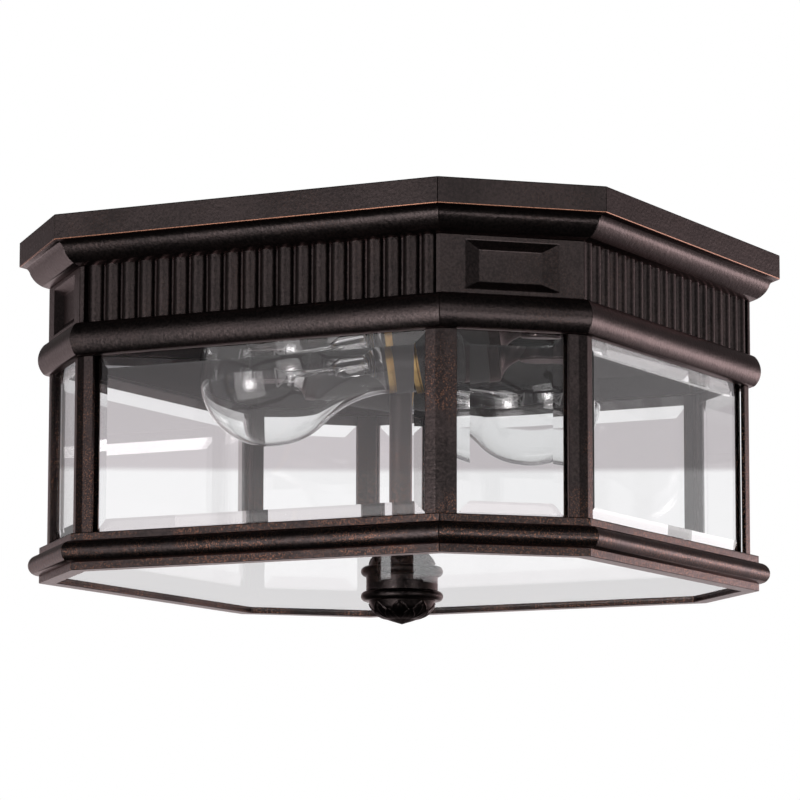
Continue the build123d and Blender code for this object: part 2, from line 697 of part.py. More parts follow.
def envelope_outline(skin):
    """Half outline of the envelope, drawn from neck to tip, inside the outer face by a skin."""
    neck = ENVELOPE_NECK - skin
    globe = GLOBE_RADIUS - skin
    blend = NECK_BLEND + skin
    lean = neck + blend
    rise = sqrt((globe + blend) ** 2 - lean**2)
    swing = degrees(atan2(rise, lean))
    globe_at = NECK_TOP + rise
    Line((neck, BASE_RIM), (neck, NECK_TOP))
    CenterArc((lean, NECK_TOP), blend, 180, -swing)
    CenterArc((0, globe_at), globe, -swing, swing)
    Line((globe, globe_at), (globe, globe_at + GLOBE_STRAIGHT))
    CenterArc((0, globe_at + GLOBE_STRAIGHT), globe, 0, 90)
    return (neck, BASE_RIM), (0, globe_at + GLOBE_STRAIGHT + globe)


# Lamp arms, sockets and lamps, the second a half turn round the stem from the first
for number, side in LAMP_SIDES.items():
    arm_x = side * ARM_REACH
    arm_foot = Plane(origin=(arm_x, 0, Z_PAN))

    # Arm: an upright cup on the pan, flared into the cap that holds the socket, bored for the leads
    with BuildPart() as arm:
        with BuildSketch(arm_foot):
            Circle(CUP_RADIUS)
        extrude(amount=-CUP_HEIGHT)
        fillet(arm.edges().group_by(Axis.Z)[0], CUP_EDGE)
        with BuildSketch(arm_foot):
            Circle(NIPPLE_RADIUS)
        extrude(amount=NIPPLE_LENGTH)
        with BuildSketch(lamp_section(side)):
            with BuildLine():
                flare = SagittaArc((NECK_RADIUS, NECK_END), (ARM_CAP_RADIUS, FLARE_END), FLARE_SAGITTA)
                Polyline(
                    flare @ 1,
                    (ARM_CAP_RADIUS, SOCKET_FROM), (0, SOCKET_FROM),
                    (0, 0), (NECK_RADIUS, 0),
                    flare @ 0,
                )
            make_face()
        revolve(axis=lamp_axis(side))
        with BuildSketch(Plane(origin=(arm_x, 0, Z_ARM_AXIS))):
            Circle(LEAD_BORE)
        extrude(amount=ARM_DROP + NIPPLE_LENGTH, mode=Mode.SUBTRACT)
        with BuildSketch(Plane(origin=(arm_x, 0, Z_ARM_AXIS), z_dir=lamp_direction(side))):
            Circle(LEAD_BORE)
        extrude(amount=SOCKET_FROM, mode=Mode.SUBTRACT)
    save(arm.part, f"lamp_arm_{number}")

    # Socket body: a moulded cup
    with BuildPart() as socket_body:
        with BuildSketch(lamp_section(side)):
            with BuildLine():
                Polyline(
                    (0, SOCKET_FROM),
                    (SOCKET_RADIUS, SOCKET_FROM),
                    (SOCKET_RADIUS, SOCKET_MOUTH),
                    (SHELL_RADIUS, SOCKET_MOUTH),
                    (SHELL_RADIUS, SOCKET_CONTACT),
                    (0, SOCKET_CONTACT),
                    close=True,
                )
            make_face()
        revolve(axis=lamp_axis(side))
    save(socket_body.part, f"socket_body_{number}")

    # Socket shell: the brass liner that the lamp screws into
    with BuildPart() as socket_shell:
        with BuildSketch(lamp_section(side)):
            with BuildLine():
                Polyline(
                    (SHELL_RADIUS - SHELL_SKIN, SOCKET_CONTACT),
                    (SHELL_RADIUS, SOCKET_CONTACT),
                    (SHELL_RADIUS, SOCKET_MOUTH + SHELL_LIP),
                    (SHELL_RADIUS - SHELL_SKIN, SOCKET_MOUTH + SHELL_LIP),
                    close=True,
                )
            make_face()
        revolve(axis=lamp_axis(side))
    save(socket_shell.part, f"socket_shell_{number}")

    # Foot contact: black insulator with a solder button
    with BuildPart() as foot:
        with BuildSketch(lamp_section(side)):
            with BuildLine():
                Polyline(
                    (0, FOOT_FROM),
                    (FOOT_RADIUS, FOOT_FROM),
                    (FOOT_RADIUS, FOOT_FROM + FOOT_HEIGHT / 3),
                    (FOOT_TOP_RADIUS, BASE_FROM),
                    (0, BASE_FROM),
                    close=True,
                )
            make_face()
        revolve(axis=lamp_axis(side))
    save(foot.part, f"lamp_foot_{number}")

    # Screw base: thin brass with a rounded thread and a collar under the glass
    with BuildPart() as base:
        base_inside = THREAD_ROOT - BASE_SKIN
        with BuildSketch(lamp_section(side)):
            with BuildLine():
                for turn in range(THREAD_TURNS):
                    thread_from = BASE_FROM + turn * THREAD_PITCH
                    ThreePointArc(
                        (THREAD_ROOT, thread_from),
                        (THREAD_CREST, thread_from + THREAD_PITCH / 2),
                        (THREAD_ROOT, thread_from + THREAD_PITCH),
                    )
                Polyline(
                    (THREAD_ROOT, COLLAR_FROM),
                    (BASE_COLLAR, COLLAR_FROM),
                    (BASE_COLLAR, BASE_RIM),
                    (base_inside, BASE_RIM),
                    (base_inside, BASE_FROM + BASE_SKIN),
                    (FOOT_RADIUS, BASE_FROM + BASE_SKIN),
                    (FOOT_RADIUS, BASE_FROM),
                    (THREAD_ROOT, BASE_FROM),
                )
            make_face()
        revolve(axis=lamp_axis(side))
    save(base.part, f"lamp_base_{number}")

    # Envelope: thin clear glass, pear-shaped
    with BuildPart() as envelope:
        with BuildSketch(lamp_section(side)):
            with BuildLine():
                outer_foot, outer_tip = envelope_outline(0)
                inner_foot, inner_tip = envelope_outline(ENVELOPE_SKIN)
                Line(outer_foot, inner_foot)
                Line(outer_tip, inner_tip)
            make_face()
        revolve(axis=lamp_axis(side))
    save(envelope.part, f"lamp_envelope_{number}")

    # Glass mount: flared foot, tube and rod with a button at its end
    with BuildPart() as mount:
        foot_radius = ENVELOPE_NECK - ENVELOPE_SKIN - MOUNT_FOOT_GAP
        with BuildSketch(lamp_section(side)):
            with BuildLine():
                Polyline(
                    (0, BASE_RIM),
                    (foot_radius, BASE_RIM),
                    (foot_radius, BASE_RIM + MOUNT_FOOT_HEIGHT),
                    (MOUNT_TUBE_RADIUS, BASE_RIM + MOUNT_TUBE_FROM),
                    (MOUNT_TUBE_RADIUS, BASE_RIM + MOUNT_TUBE_TO),
                    (MOUNT_ROD_RADIUS, BASE_RIM + MOUNT_ROD_FROM),
                    (MOUNT_ROD_RADIUS, BASE_RIM + MOUNT_ROD_TO),
                    (MOUNT_BUTTON_RADIUS, BASE_RIM + MOUNT_ROD_TO),
                    (MOUNT_BUTTON_RADIUS, BASE_RIM + MOUNT_ROD_TO + MOUNT_BUTTON_HEIGHT),
                    (0, BASE_RIM + MOUNT_ROD_TO + MOUNT_BUTTON_HEIGHT),
                    close=True,
                )
            make_face()
        revolve(axis=lamp_axis(side))
    save(mount.part, f"lamp_mount_{number}")

    # Filament: two leads out of the glass tube, the filament between them and two supports
    lead_feet = [lamp_point(side, way * LEAD_FOOT, 0, BASE_RIM + LEAD_FROM) for way in (-1, 1)]
    lead_tips = [lamp_point(side, way * FILAMENT_SPREAD, 0, BASE_RIM + FILAMENT_AT) for way in (-1, 1)]
    hooks = [
        lamp_point(side, way * SUPPORT_SPREAD, way * SUPPORT_TWIST, BASE_RIM + FILAMENT_AT + FILAMENT_RISE)
        for way in (-1, 1)
    ]
    button = lamp_point(side, 0, 0, BASE_RIM + MOUNT_ROD_TO + MOUNT_BUTTON_HEIGHT / 2)
    runs = [
        (lead_feet[0], lead_tips[0]),
        (lead_feet[1], lead_tips[1]),
        (lead_tips[0], hooks[0]),
        (hooks[0], hooks[1]),
        (hooks[1], lead_tips[1]),
        (button, hooks[0]),
        (button, hooks[1]),
    ]
    with BuildPart() as filament:
        for run_start, run_end in runs:
            with BuildSketch(Plane(origin=run_start, z_dir=run_end - run_start)):
                Circle(WIRE_RADIUS)
            extrude(amount=(run_end - run_start).length)
        with Locations(*lead_tips, *hooks):
            Sphere(WIRE_RADIUS)
    save(filament.part, f"lamp_filament_{number}")

# Socket contacts: a round spring contact at the back of each socket
with BuildPart() as socket_contacts:
    for side in LAMP_SIDES.values():
        socket_back = Plane(
            origin=lamp_point(side, 0, 0, SOCKET_CONTACT),
            x_dir=lamp_cross(side),
            z_dir=lamp_direction(side),
        )
        with BuildSketch(socket_back):
            Circle(CONTACT_RADIUS)
        extrude(amount=CONTACT_HEIGHT)
save(socket_contacts.part, "socket_contacts")

# Glass floor: an eight-sided plate with a hole for the stem's bush
floor_inset = LIP_INNER_INSET + FLOOR_SIDE_CLEARANCE
with BuildPart() as glass_floor:
    with BuildSketch(Plane.XY.offset(Z_FLOOR_LOW)):
        Polygon(*octagon(floor_inset, floor_inset), align=None)
        Circle(BUSH_RADIUS, mode=Mode.SUBTRACT)
    extrude(amount=FLOOR_THICKNESS)
save(glass_floor.part, "glass_floor")

# Bush: rubber sleeve that keeps the glass floor off the stem
with BuildPart() as bush:
    with BuildSketch(SECTION):
        with BuildLine():
            Polyline(
                (STEM_RADIUS + RUNNING_FIT, Z_FLOOR_LOW),
                (BUSH_RADIUS, Z_FLOOR_LOW),
                (BUSH_RADIUS, Z_FLOOR_TOP),
                (BUSH_FLANGE, Z_FLOOR_TOP),
                (BUSH_FLANGE, Z_FLOOR_TOP + BUSH_FLANGE_HEIGHT),
                (STEM_RADIUS + RUNNING_FIT, Z_FLOOR_TOP + BUSH_FLANGE_HEIGHT),
                close=True,
            )
        make_face()
    revolve(axis=Axis.Z)
save(bush.part, "floor_bush")

# Finial collar: the washer between the glass floor and the finial
with BuildPart() as collar:
    with BuildSketch(Plane.XY.offset(Z_COLLAR)):
        Circle(COLLAR_RADIUS)
        Circle(STEM_RADIUS + RUNNING_FIT, mode=Mode.SUBTRACT)
    extrude(amount=COLLAR_HEIGHT)
save(collar.part, "finial_collar")


def dome_outline(proud):
    """Half outline of the finial's dome from the bead to the tip, swollen by a little."""
    shoulder = (DOME_SHOULDER + proud, Z_SHOULDER)
    Polyline((0, Z_DOME), (DOME_RADIUS + proud, Z_DOME), shoulder)
    tip_edge = (TIP_RADIUS + proud, Z_TIP + TIP_HEIGHT)
    SagittaArc(shoulder, tip_edge, DOME_SAGITTA)
    Polyline(tip_edge, (0, Z_TIP), (0, Z_DOME))


# Leaves of the finial: upright leaf shapes kept to a thin skin over the dome
leaf_top = Z_DOME - LEAF_TOP_GAP
leaf_waist = (Z_SHOULDER + Z_TIP) / 2
with BuildPart() as leaf_prisms:
    for leaf in range(LEAF_COUNT):
        with BuildSketch(face_plane(leaf * 360 / LEAF_COUNT, 0, 0)):
            with BuildLine():
                Polyline(
                    (0, leaf_top),
                    (LEAF_HALF_WIDTH, Z_SHOULDER),
                    (LEAF_HALF_WIDTH / 2, leaf_waist),
                    (0, Z_TIP),
                    (-LEAF_HALF_WIDTH / 2, leaf_waist),
                    (-LEAF_HALF_WIDTH, Z_SHOULDER),
                    close=True,
                )
            make_face()
        extrude(amount=BEAD_RADIUS)

with BuildPart() as leaves:
    with BuildSketch(SECTION):
        with BuildLine():
            dome_outline(LEAF_PROUD)
        make_face()
    revolve(axis=Axis.Z)
    add(leaf_prisms.part, mode=Mode.INTERSECT)

# Finial: bead, dome and leaves, bored from above for the stem
with BuildPart() as finial:
    with BuildSketch(SECTION):
        with BuildLine():
            bead_round = BEAD_HEIGHT / 2
            bead = CenterArc((BEAD_RADIUS - bead_round, Z_FINIAL_TOP - bead_round), bead_round, -90, 180)
            Polyline(bead @ 1, (0, Z_FINIAL_TOP), (0, Z_DOME), bead @ 0)
        make_face()
    revolve(axis=Axis.Z)
    with BuildSketch(SECTION):
        with BuildLine():
            dome_outline(0)
        make_face()
    revolve(axis=Axis.Z)
    add(leaves.part)
    with BuildSketch(Plane.XY.offset(Z_BORE_END)):
        Circle(STEM_RADIUS + RUNNING_FIT)
    extrude(amount=Z_FINIAL_TOP - Z_BORE_END, mode=Mode.SUBTRACT)
save(finial.part, "finial")
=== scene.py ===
"""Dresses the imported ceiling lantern: bronze mouldings, bevelled glass, lamps, stage and camera."""

import json
import math

import bmesh
import bpy
from bpy.props import FloatProperty, FloatVectorProperty, IntProperty, PointerProperty
from mathutils import Matrix, Vector


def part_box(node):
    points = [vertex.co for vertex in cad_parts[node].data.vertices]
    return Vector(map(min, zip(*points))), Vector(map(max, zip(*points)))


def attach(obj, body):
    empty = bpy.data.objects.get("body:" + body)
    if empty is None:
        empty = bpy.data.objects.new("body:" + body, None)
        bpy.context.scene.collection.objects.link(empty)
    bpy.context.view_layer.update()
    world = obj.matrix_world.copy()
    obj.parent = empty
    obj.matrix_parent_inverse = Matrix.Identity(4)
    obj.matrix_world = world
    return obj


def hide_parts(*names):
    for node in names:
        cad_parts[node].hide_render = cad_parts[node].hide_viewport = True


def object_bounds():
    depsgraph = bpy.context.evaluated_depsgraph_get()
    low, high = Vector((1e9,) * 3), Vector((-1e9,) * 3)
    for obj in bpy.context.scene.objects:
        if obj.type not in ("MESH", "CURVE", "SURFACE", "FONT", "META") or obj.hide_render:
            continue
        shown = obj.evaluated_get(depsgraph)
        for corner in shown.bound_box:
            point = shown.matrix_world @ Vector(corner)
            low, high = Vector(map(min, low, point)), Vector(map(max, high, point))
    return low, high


bl_info = {
    "name": "Eight-sided ceiling lantern",
    "version": (1, 0, 0),
    "blender": (4, 5, 0),
    "location": "View3D > Sidebar > Lantern",
    "description": "Builds the visible pieces of a bronze ceiling lantern around its packed frame",
    "category": "Object",
}

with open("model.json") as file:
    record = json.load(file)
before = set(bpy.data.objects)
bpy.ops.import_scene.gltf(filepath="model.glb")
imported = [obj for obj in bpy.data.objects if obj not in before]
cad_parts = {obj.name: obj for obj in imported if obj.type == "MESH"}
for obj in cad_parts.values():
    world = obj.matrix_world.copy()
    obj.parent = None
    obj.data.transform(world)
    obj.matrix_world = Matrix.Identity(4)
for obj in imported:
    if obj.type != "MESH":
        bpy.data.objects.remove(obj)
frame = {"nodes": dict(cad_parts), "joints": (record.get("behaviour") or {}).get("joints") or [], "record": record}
CAD_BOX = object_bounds()

MM = 0.001
ROOT2 = math.sqrt(2)
SIDES = 8
JOINTS = {joint["name"]: joint for joint in frame["joints"]}
SLOTS = {part["node"]: part["material_slot"] for part in frame["record"]["subparts"]}

# Play over the glass floor, and how much the corner faces cut off the square plan's corners
FLOOR_PLAY = 0.3 * MM
CORNER_CUT = 37 * MM

# Levels and reaches, from the frame
HALF_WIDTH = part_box("ceiling_rim")[1].x
Z_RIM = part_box("ceiling_rim")[0].z
Z_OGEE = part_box("cornice_moulding")[0].z
Z_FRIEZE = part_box("belt_moulding")[1].z
Z_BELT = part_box("belt_moulding")[0].z
Z_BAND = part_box("post_front_right")[0].z
Z_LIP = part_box("lower_frame")[0].z
Z_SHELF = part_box("glass_floor")[1].z + FLOOR_PLAY
Z_FINIAL_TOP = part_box("finial")[1].z
Z_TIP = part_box("finial")[0].z
CORNER_REACH = ROOT2 * HALF_WIDTH - CORNER_CUT

# Insets of the tiers from the rim, as in the frame
BODY_INSET = 12.85 * MM
SEAT_INSET = 14.95 * MM
SHELL_INSET = 17.05 * MM
CORNER_SHELL_INSET = 18.5 * MM
BAND_INSET = 10.1 * MM
MITRE = 22.5

# Rounded corners: support points as a share of the radius, and the most of an edge that a round takes
GUARD = 1.12
ROUND_LIMIT = 0.4

# Where the bronze changes over the lantern: from no change to the full change
FINIAL_REACH = (30 * MM, 26 * MM)
FINIAL_LEVEL = (-148 * MM, -152 * MM)
INNER_REACH = (-50 * MM, -80 * MM)
FLECK_LEVEL = (-55 * MM, -95 * MM)

BLACK = (0.0, 0.0, 0.0, 1.0)
WHITE = (1.0, 1.0, 1.0, 1.0)

WIDE_SIDES = {"front": 0, "right": 90, "back": 180, "left": 270}
CORNER_SIDES = {"front_right": 45, "back_right": 135, "back_left": 225, "front_left": 315}
POST_NAMES = (
    "front_right", "right_front", "right_back", "back_right",
    "back_left", "left_back", "left_front", "front_left",
)


class LanternSizes(bpy.types.PropertyGroup):
    """Sizes of the fine detail that the dressed pieces add to the frame."""

    edge_round: FloatProperty(
        name="Edge round", description="Radius on the cast edges", default=0.45 * MM, unit="LENGTH"
    )
    seam_width: FloatProperty(
        name="Seam width", description="Half width of the mitre seams", default=0.22 * MM, unit="LENGTH"
    )
    seam_depth: FloatProperty(
        name="Seam depth", description="Depth of the mitre seams", default=0.3 * MM, unit="LENGTH"
    )
    reed_count: IntProperty(name="Reeds", description="Reeds on each frieze panel", default=20, min=1)
    reed_width: FloatProperty(
        name="Reed width", description="Width of one reed", default=7.4 * MM, unit="LENGTH"
    )
    reed_proud: FloatProperty(
        name="Reed depth", description="How far a reed stands out", default=3.3 * MM, unit="LENGTH"
    )
    leaf_count: IntProperty(name="Leaves", description="Leaves round the finial", default=8, min=3)
    leaf_proud: FloatProperty(
        name="Leaf relief", description="Height of the finial's leaves", default=0.8 * MM, unit="LENGTH"
    )
    wire_radius: FloatProperty(
        name="Wire", description="Radius of the lamp's lead wires", default=0.25 * MM, unit="LENGTH"
    )


class LanternColours(bpy.types.PropertyGroup):
    """Colours of the lantern's finishes."""

    bronze: FloatVectorProperty(
        name="Bronze", description="Dark bronze of the body",
        subtype="COLOR", size=3, default=(0.058, 0.0465, 0.0455),
    )
    bronze_shade: FloatVectorProperty(
        name="Bronze shade", description="Darker mottling",
        subtype="COLOR", size=3, default=(0.034, 0.029, 0.0285),
    )
    fleck: FloatVectorProperty(
        name="Copper flecks", description="Small warm flecks",
        subtype="COLOR", size=3, default=(0.2, 0.1, 0.068),
    )
    worn: FloatVectorProperty(
        name="Worn edge", description="Copper where edges are rubbed",
        subtype="COLOR", size=3, default=(0.3, 0.15, 0.1),
    )
    glass: FloatVectorProperty(
        name="Glass", description="Tint of the plate glass",
        subtype="COLOR", size=3, default=(0.98, 0.98, 0.98),
    )
    brass: FloatVectorProperty(
        name="Brass", description="Screw bases and socket shells",
        subtype="COLOR", size=3, default=(0.72, 0.49, 0.2),
    )
    floor: FloatVectorProperty(
        name="Floor", description="Studio floor",
        subtype="COLOR", size=3, default=(0.8, 0.8, 0.79),
    )


class Signal:
    """A shader socket that takes part in Python expressions and adds the Math nodes they need."""

    def __init__(self, graph, socket):
        self.graph = graph
        self.socket = socket

    def maths(self, operation, first, second):
        return self.graph.node("ShaderNodeMath", {"operation": operation}, {0: first, 1: second})

    def __add__(self, other):
        return self.maths("ADD", self, other)

    def __radd__(self, other):
        return self.maths("ADD", other, self)

    def __sub__(self, other):
        return self.maths("SUBTRACT", self, other)

    def __rsub__(self, other):
        return self.maths("SUBTRACT", other, self)

    def __mul__(self, other):
        return self.maths("MULTIPLY", self, other)

    def __rmul__(self, other):
        return self.maths("MULTIPLY", other, self)


class Graph:
    """A node tree that is written as calls and expressions."""

    def __init__(self, tree):
        self.tree = tree
        tree.nodes.clear()

    def node(self, kind, settings=None, inputs=None, output=0):
        """Add a node, set it up, feed its sockets and return one of its outputs, by number or name."""
        made = self.tree.nodes.new(kind)
        for key, value in (settings or {}).items():
            if key == "stops":
                stops = made.color_ramp.elements
                stops.remove(stops[1])
                stops[0].position = value[0][0]
                for place, _ in value[1:]:
                    stops.new(place)
                for stop, (_, colour) in zip(stops, value):
                    stop.color = rgba(colour)
            else:
                setattr(made, key, value)
        for key, value in (inputs or {}).items():
            if isinstance(value, Signal):
                self.tree.links.new(value.socket, made.inputs[key])
            else:
                made.inputs[key].default_value = value
        return Signal(self, made.outputs[output] if made.outputs else None)

    def split(self, vector):
        """The three parts of a vector."""
        first = self.node("ShaderNodeSeparateXYZ", None, {"Vector": vector})
        return [Signal(self, part) for part in first.socket.node.outputs]

    def mix(self, factor, first, second):
        """Blend two colours by a factor."""
        return self.node(
            "ShaderNodeMix", {"data_type": "RGBA"}, {0: factor, 6: first, 7: second}, output=2
        )

    def noise(self, place, scale, detail=2.0, roughness=0.5):
        """Soft noise over a place, with a scale in features to the metre."""
        return self.node(
            "ShaderNodeTexNoise", None,
            {"Vector": place, "Scale": scale, "Detail": detail, "Roughness": roughness},
        )

    def step(self, value, low, high):
        """A smooth step from 0 at low to 1 at high."""
        return self.node(
            "ShaderNodeMapRange",
            {"interpolation_type": "SMOOTHSTEP"},
            {"Value": value, "From Min": low, "From Max": high},
        )


def rgba(colour):
    return (*colour, 1.0)


def new_finish(name):
    """A new material, with its graph and the place on the piece in metres."""
    material = bpy.data.materials.new(name)
    material.use_nodes = True
    graph = Graph(material.node_tree)
    place = graph.node("ShaderNodeTexCoord", output=3)
    return material, graph, place


def finish_with(material, graph, sockets):
    """Close a finish with one principled surface."""
    surface = graph.node("ShaderNodeBsdfPrincipled", None, sockets)
    graph.node("ShaderNodeOutputMaterial", None, {"Surface": surface})
    return material


def bumped(graph, height, strength, distance):
    """A normal from a height."""
    return graph.node(
        "ShaderNodeBump", None, {"Strength": strength, "Distance": distance, "Height": height}
    )


def bronze_finish(colours):
    """Dark satin bronze, grainy and mottled, with rubbed edges.

    Rust flecks lie low down, and the finial and the inner faces are darker.
    """
    material, graph, place = new_finish("dark_bronze")
    cloud = graph.noise(place, 45.0, 4.0)
    grain = graph.noise(place, 850.0, 2.0, 0.6)
    speck = graph.noise(place, 1300.0, 2.0, 0.7)
    patch = graph.noise(place, 30.0, 3.0)
    hammer = graph.noise(place, 430.0, 2.0)
    x, y, z = graph.split(place)
    out_x, out_y, _ = graph.split(graph.node("ShaderNodeNewGeometry", output=1))
    worn = graph.node("ShaderNodeAttribute", {"attribute_name": "wear"}, output=2)
    mottle = graph.step(cloud * 0.4 + grain * 0.6, 0.36, 0.64)
    body = graph.mix(mottle, rgba(colours.bronze_shade), rgba(colours.bronze))
    near_stem = graph.step(x * x + y * y, *(reach**2 for reach in FINIAL_REACH))
    core = near_stem * graph.step(z, *FINIAL_LEVEL)
    inward = graph.step(x * out_x + y * out_y, *INNER_REACH)
    toned = graph.mix(core * 0.6 + inward * 0.6, body, BLACK)
    lower = graph.step(z, *FLECK_LEVEL) * (1.0 - core)
    flecks = graph.step(speck, 0.54, 0.62) * graph.step(patch + lower * 0.12, 0.48, 0.62)
    flecked = graph.mix(flecks * (0.1 + lower * 0.75), toned, rgba(colours.fleck))
    rub = graph.step(worn * (0.5 + grain), 0.42, 0.85)
    return finish_with(material, graph, {
        "Base Color": graph.mix(rub, flecked, rgba(colours.worn)),
        "Metallic": 1.0,
        "Specular Tint": (1.0, 0.85, 0.85, 1.0),
        "Roughness": 0.23 + grain * 0.2,
        "Normal": bumped(graph, grain + hammer * 1.3, 0.5, 0.15 * MM),
    })


def clear_glass(name, tint, ior, ripple_scale, ripple):
    """Smooth clear glass with a faint ripple."""
    material, graph, place = new_finish(name)
    return finish_with(material, graph, {
        "Base Color": tint,
        "Roughness": 0.0,
        "IOR": ior,
        "Transmission Weight": 1.0,
        "Normal": bumped(graph, graph.noise(place, ripple_scale, 1.0), ripple, 0.2 * MM),
    })


def mottled(name, noise, tones, roughness, bump=None, sockets=None):
    """A finish that drifts between two tones, and in roughness, over a noise of scale and detail.

    The bump is the scale, detail and strength of a finer noise.
    """
    material, graph, place = new_finish(name)
    drift = graph.noise(place, *noise)
    least, spread = roughness
    sockets = dict(sockets or {})
    sockets["Base Color"] = graph.mix(drift, *tones)
    sockets["Roughness"] = least + drift * spread
    if bump:
        scale, detail, strength = bump
        sockets["Normal"] = bumped(graph, graph.noise(place, scale, detail), strength, 0.1 * MM)
    return finish_with(material, graph, sockets)


def plate_glass_finish(colours):
    """Plate glass with a hardly visible ripple."""
    return clear_glass("plate_glass", rgba(colours.glass), 1.5, 9.0, 0.02)


def lamp_glass_finish(colours):
    """Thin blown glass."""
    return clear_glass("lamp_glass", (0.985, 0.99, 0.99, 1.0), 1.47, 40.0, 0.03)


def floor_glass_finish(colours):
    """Plate glass with ground edges painted near black, a painted shade where the glass sits in the frame's lip.
    """
    material, graph, place = new_finish("floor_glass")
    _, _, upright = graph.split(graph.node("ShaderNodeTexCoord", output=1))
    flat = graph.step(upright * upright, 0.2, 0.6)
    ground = graph.noise(place, 900.0, 2.0)
    return finish_with(material, graph, {
        # The edges' near-black brown is painted shade, not a colour of the glass.
        "Base Color": graph.mix(flat, (0.03, 0.022, 0.02, 1.0), rgba(colours.glass)),
        "Roughness": (1.0 - flat) * (0.35 + ground * 0.2),
        "IOR": 1.5,
        "Transmission Weight": 1.0,
    })


def inner_paint_finish(colours):
    """Flat dark paint inside the lantern."""
    tones = rgba(colours.bronze_shade), rgba(colours.bronze)
    dull = {"Specular IOR Level": 0.2}
    return mottled("inner_paint", (70.0, 3.0), tones, (0.75, 0.15), (900.0, 2.0, 0.15), dull)


def brass_finish(colours):
    """Bright brass, a little dulled in patches."""
    material, graph, place = new_finish("bright_brass")
    dull = graph.noise(place, 160.0, 4.0)
    tone = graph.mix(graph.step(dull, 0.35, 0.7), rgba(colours.brass), (0.5, 0.31, 0.12, 1.0))
    sockets = {"Base Color": tone, "Metallic": 1.0, "Roughness": 0.2 + dull * 0.22}
    return finish_with(material, graph, sockets)


def plated_steel_finish(colours):
    """Zinc plating with a fine spangle."""
    material, graph, place = new_finish("zinc_plate")
    spangle = graph.node("ShaderNodeTexVoronoi", None, {"Vector": place, "Scale": 420.0})
    cloud = graph.noise(place, 90.0, 3.0)
    dulled = graph.step(spangle + cloud * 0.5, 0.3, 0.9)
    tone = graph.mix(dulled, (0.62, 0.62, 0.6, 1.0), (0.42, 0.43, 0.44, 1.0))
    sockets = {"Base Color": tone, "Metallic": 1.0, "Roughness": 0.28 + cloud * 0.25}
    return finish_with(material, graph, sockets)


def dark_moulding_finish(colours):
    """Black moulded socket body with a faint flow mottle."""
    tones = (0.012, 0.011, 0.011, 1.0), (0.035, 0.032, 0.031, 1.0)
    return mottled("black_moulding", (130.0, 4.0), tones, (0.38, 0.2), (900.0, 2.0, 0.08))


def black_glass_finish(colours):
    """Glossy black insulator."""
    tones = (0.008, 0.008, 0.01, 1.0), (0.02, 0.02, 0.024, 1.0)
    return mottled("black_glass", (300.0, 2.0), tones, (0.06, 0.1))


def rubber_finish(colours):
    """Soft black rubber."""
    tones = (0.014, 0.014, 0.014, 1.0), (0.035, 0.034, 0.033, 1.0)
    return mottled("soft_rubber", (240.0, 3.0), tones, (0.7, 0.2), (1500.0, 1.0, 0.1))


def wire_finish(colours):
    """Dull grey lead and filament wire."""
    tones = (0.3, 0.3, 0.3, 1.0), (0.48, 0.47, 0.46, 1.0)
    return mottled("grey_wire", (900.0, 2.0), tones, (0.3, 0.15), sockets={"Metallic": 1.0})


# Makers of the finishes: by slot, and for the nodes that have one of their own
FINISH_MAKERS = {
    "bronze": bronze_finish,
    "plate_glass": plate_glass_finish,
    "lamp_glass": lamp_glass_finish,
    "brass": brass_finish,
    "tungsten": wire_finish,
    "black_glass": black_glass_finish,
    "black_moulding": dark_moulding_finish,
    "plated_steel": plated_steel_finish,
    "rubber": rubber_finish,
}
NODE_FINISH_MAKERS = {
    floor_glass_finish: ("glass_floor",),
    inner_paint_finish: ("ceiling_pan", "frieze_shell"),
}
FINISHES = {}


def along(turn):
    """Level direction along a face, to the right as seen from outside."""
    return Vector((math.cos(math.radians(turn)), math.sin(math.radians(turn)), 0))


def outward(turn):
    """Level direction that a face looks in."""
    return Vector((math.sin(math.radians(turn)), -math.cos(math.radians(turn)), 0))


def side_end(inset):
    """Half the length of a wide face at an inset."""
    return ROOT2 * (CORNER_REACH - inset) - (HALF_WIDTH - inset)


def plan_corner(index, inset):
    """One of the plan's eight corners at an inset, counted from the right end of the front face."""
    first = along(0) * side_end(inset) + outward(0) * (HALF_WIDTH - inset)
    second = along(90) * -side_end(inset) + outward(90) * (HALF_WIDTH - inset)
    quarter, which = divmod(index % SIDES, 2)
    return Matrix.Rotation(math.radians(90 * quarter), 3, "Z") @ (second if which else first)


def arc(centre, radius, start, sweep, steps):
    """Points on a circular arc, angles in degrees."""
    return [
        (
            centre[0] + radius * math.cos(math.radians(start + sweep * i / steps)),
            centre[1] + radius * math.sin(math.radians(start + sweep * i / steps)),
        )
        for i in range(steps + 1)
    ]


def bow(first, second, sagitta, steps):
    """Points from first to second on an arc that bows to the left by a sagitta."""
    a, b = Vector(first), Vector(second)
    chord = b - a
    normal = Vector((-chord.y, chord.x)).normalized()
    radius = (chord.length_squared / 4 + sagitta**2) / (2 * abs(sagitta))
    side = math.copysign(1, sagitta)
    centre = (a + b) / 2 + normal * (sagitta - side * radius)
    turn = (a - centre).angle_signed(b - centre)
    points = []
    for i in range(steps + 1):
        spoke = (a - centre).copy()
        spoke.rotate(Matrix.Rotation(-turn * i / steps, 2))
        points.append(tuple(centre + spoke))
    return points


def straight(first, second, steps):
    """Points in equal steps from first to second, without the first."""
    return [
        tuple(a + (b - a) * i / steps for a, b in zip(first, second))
        for i in range(1, steps + 1)
    ]


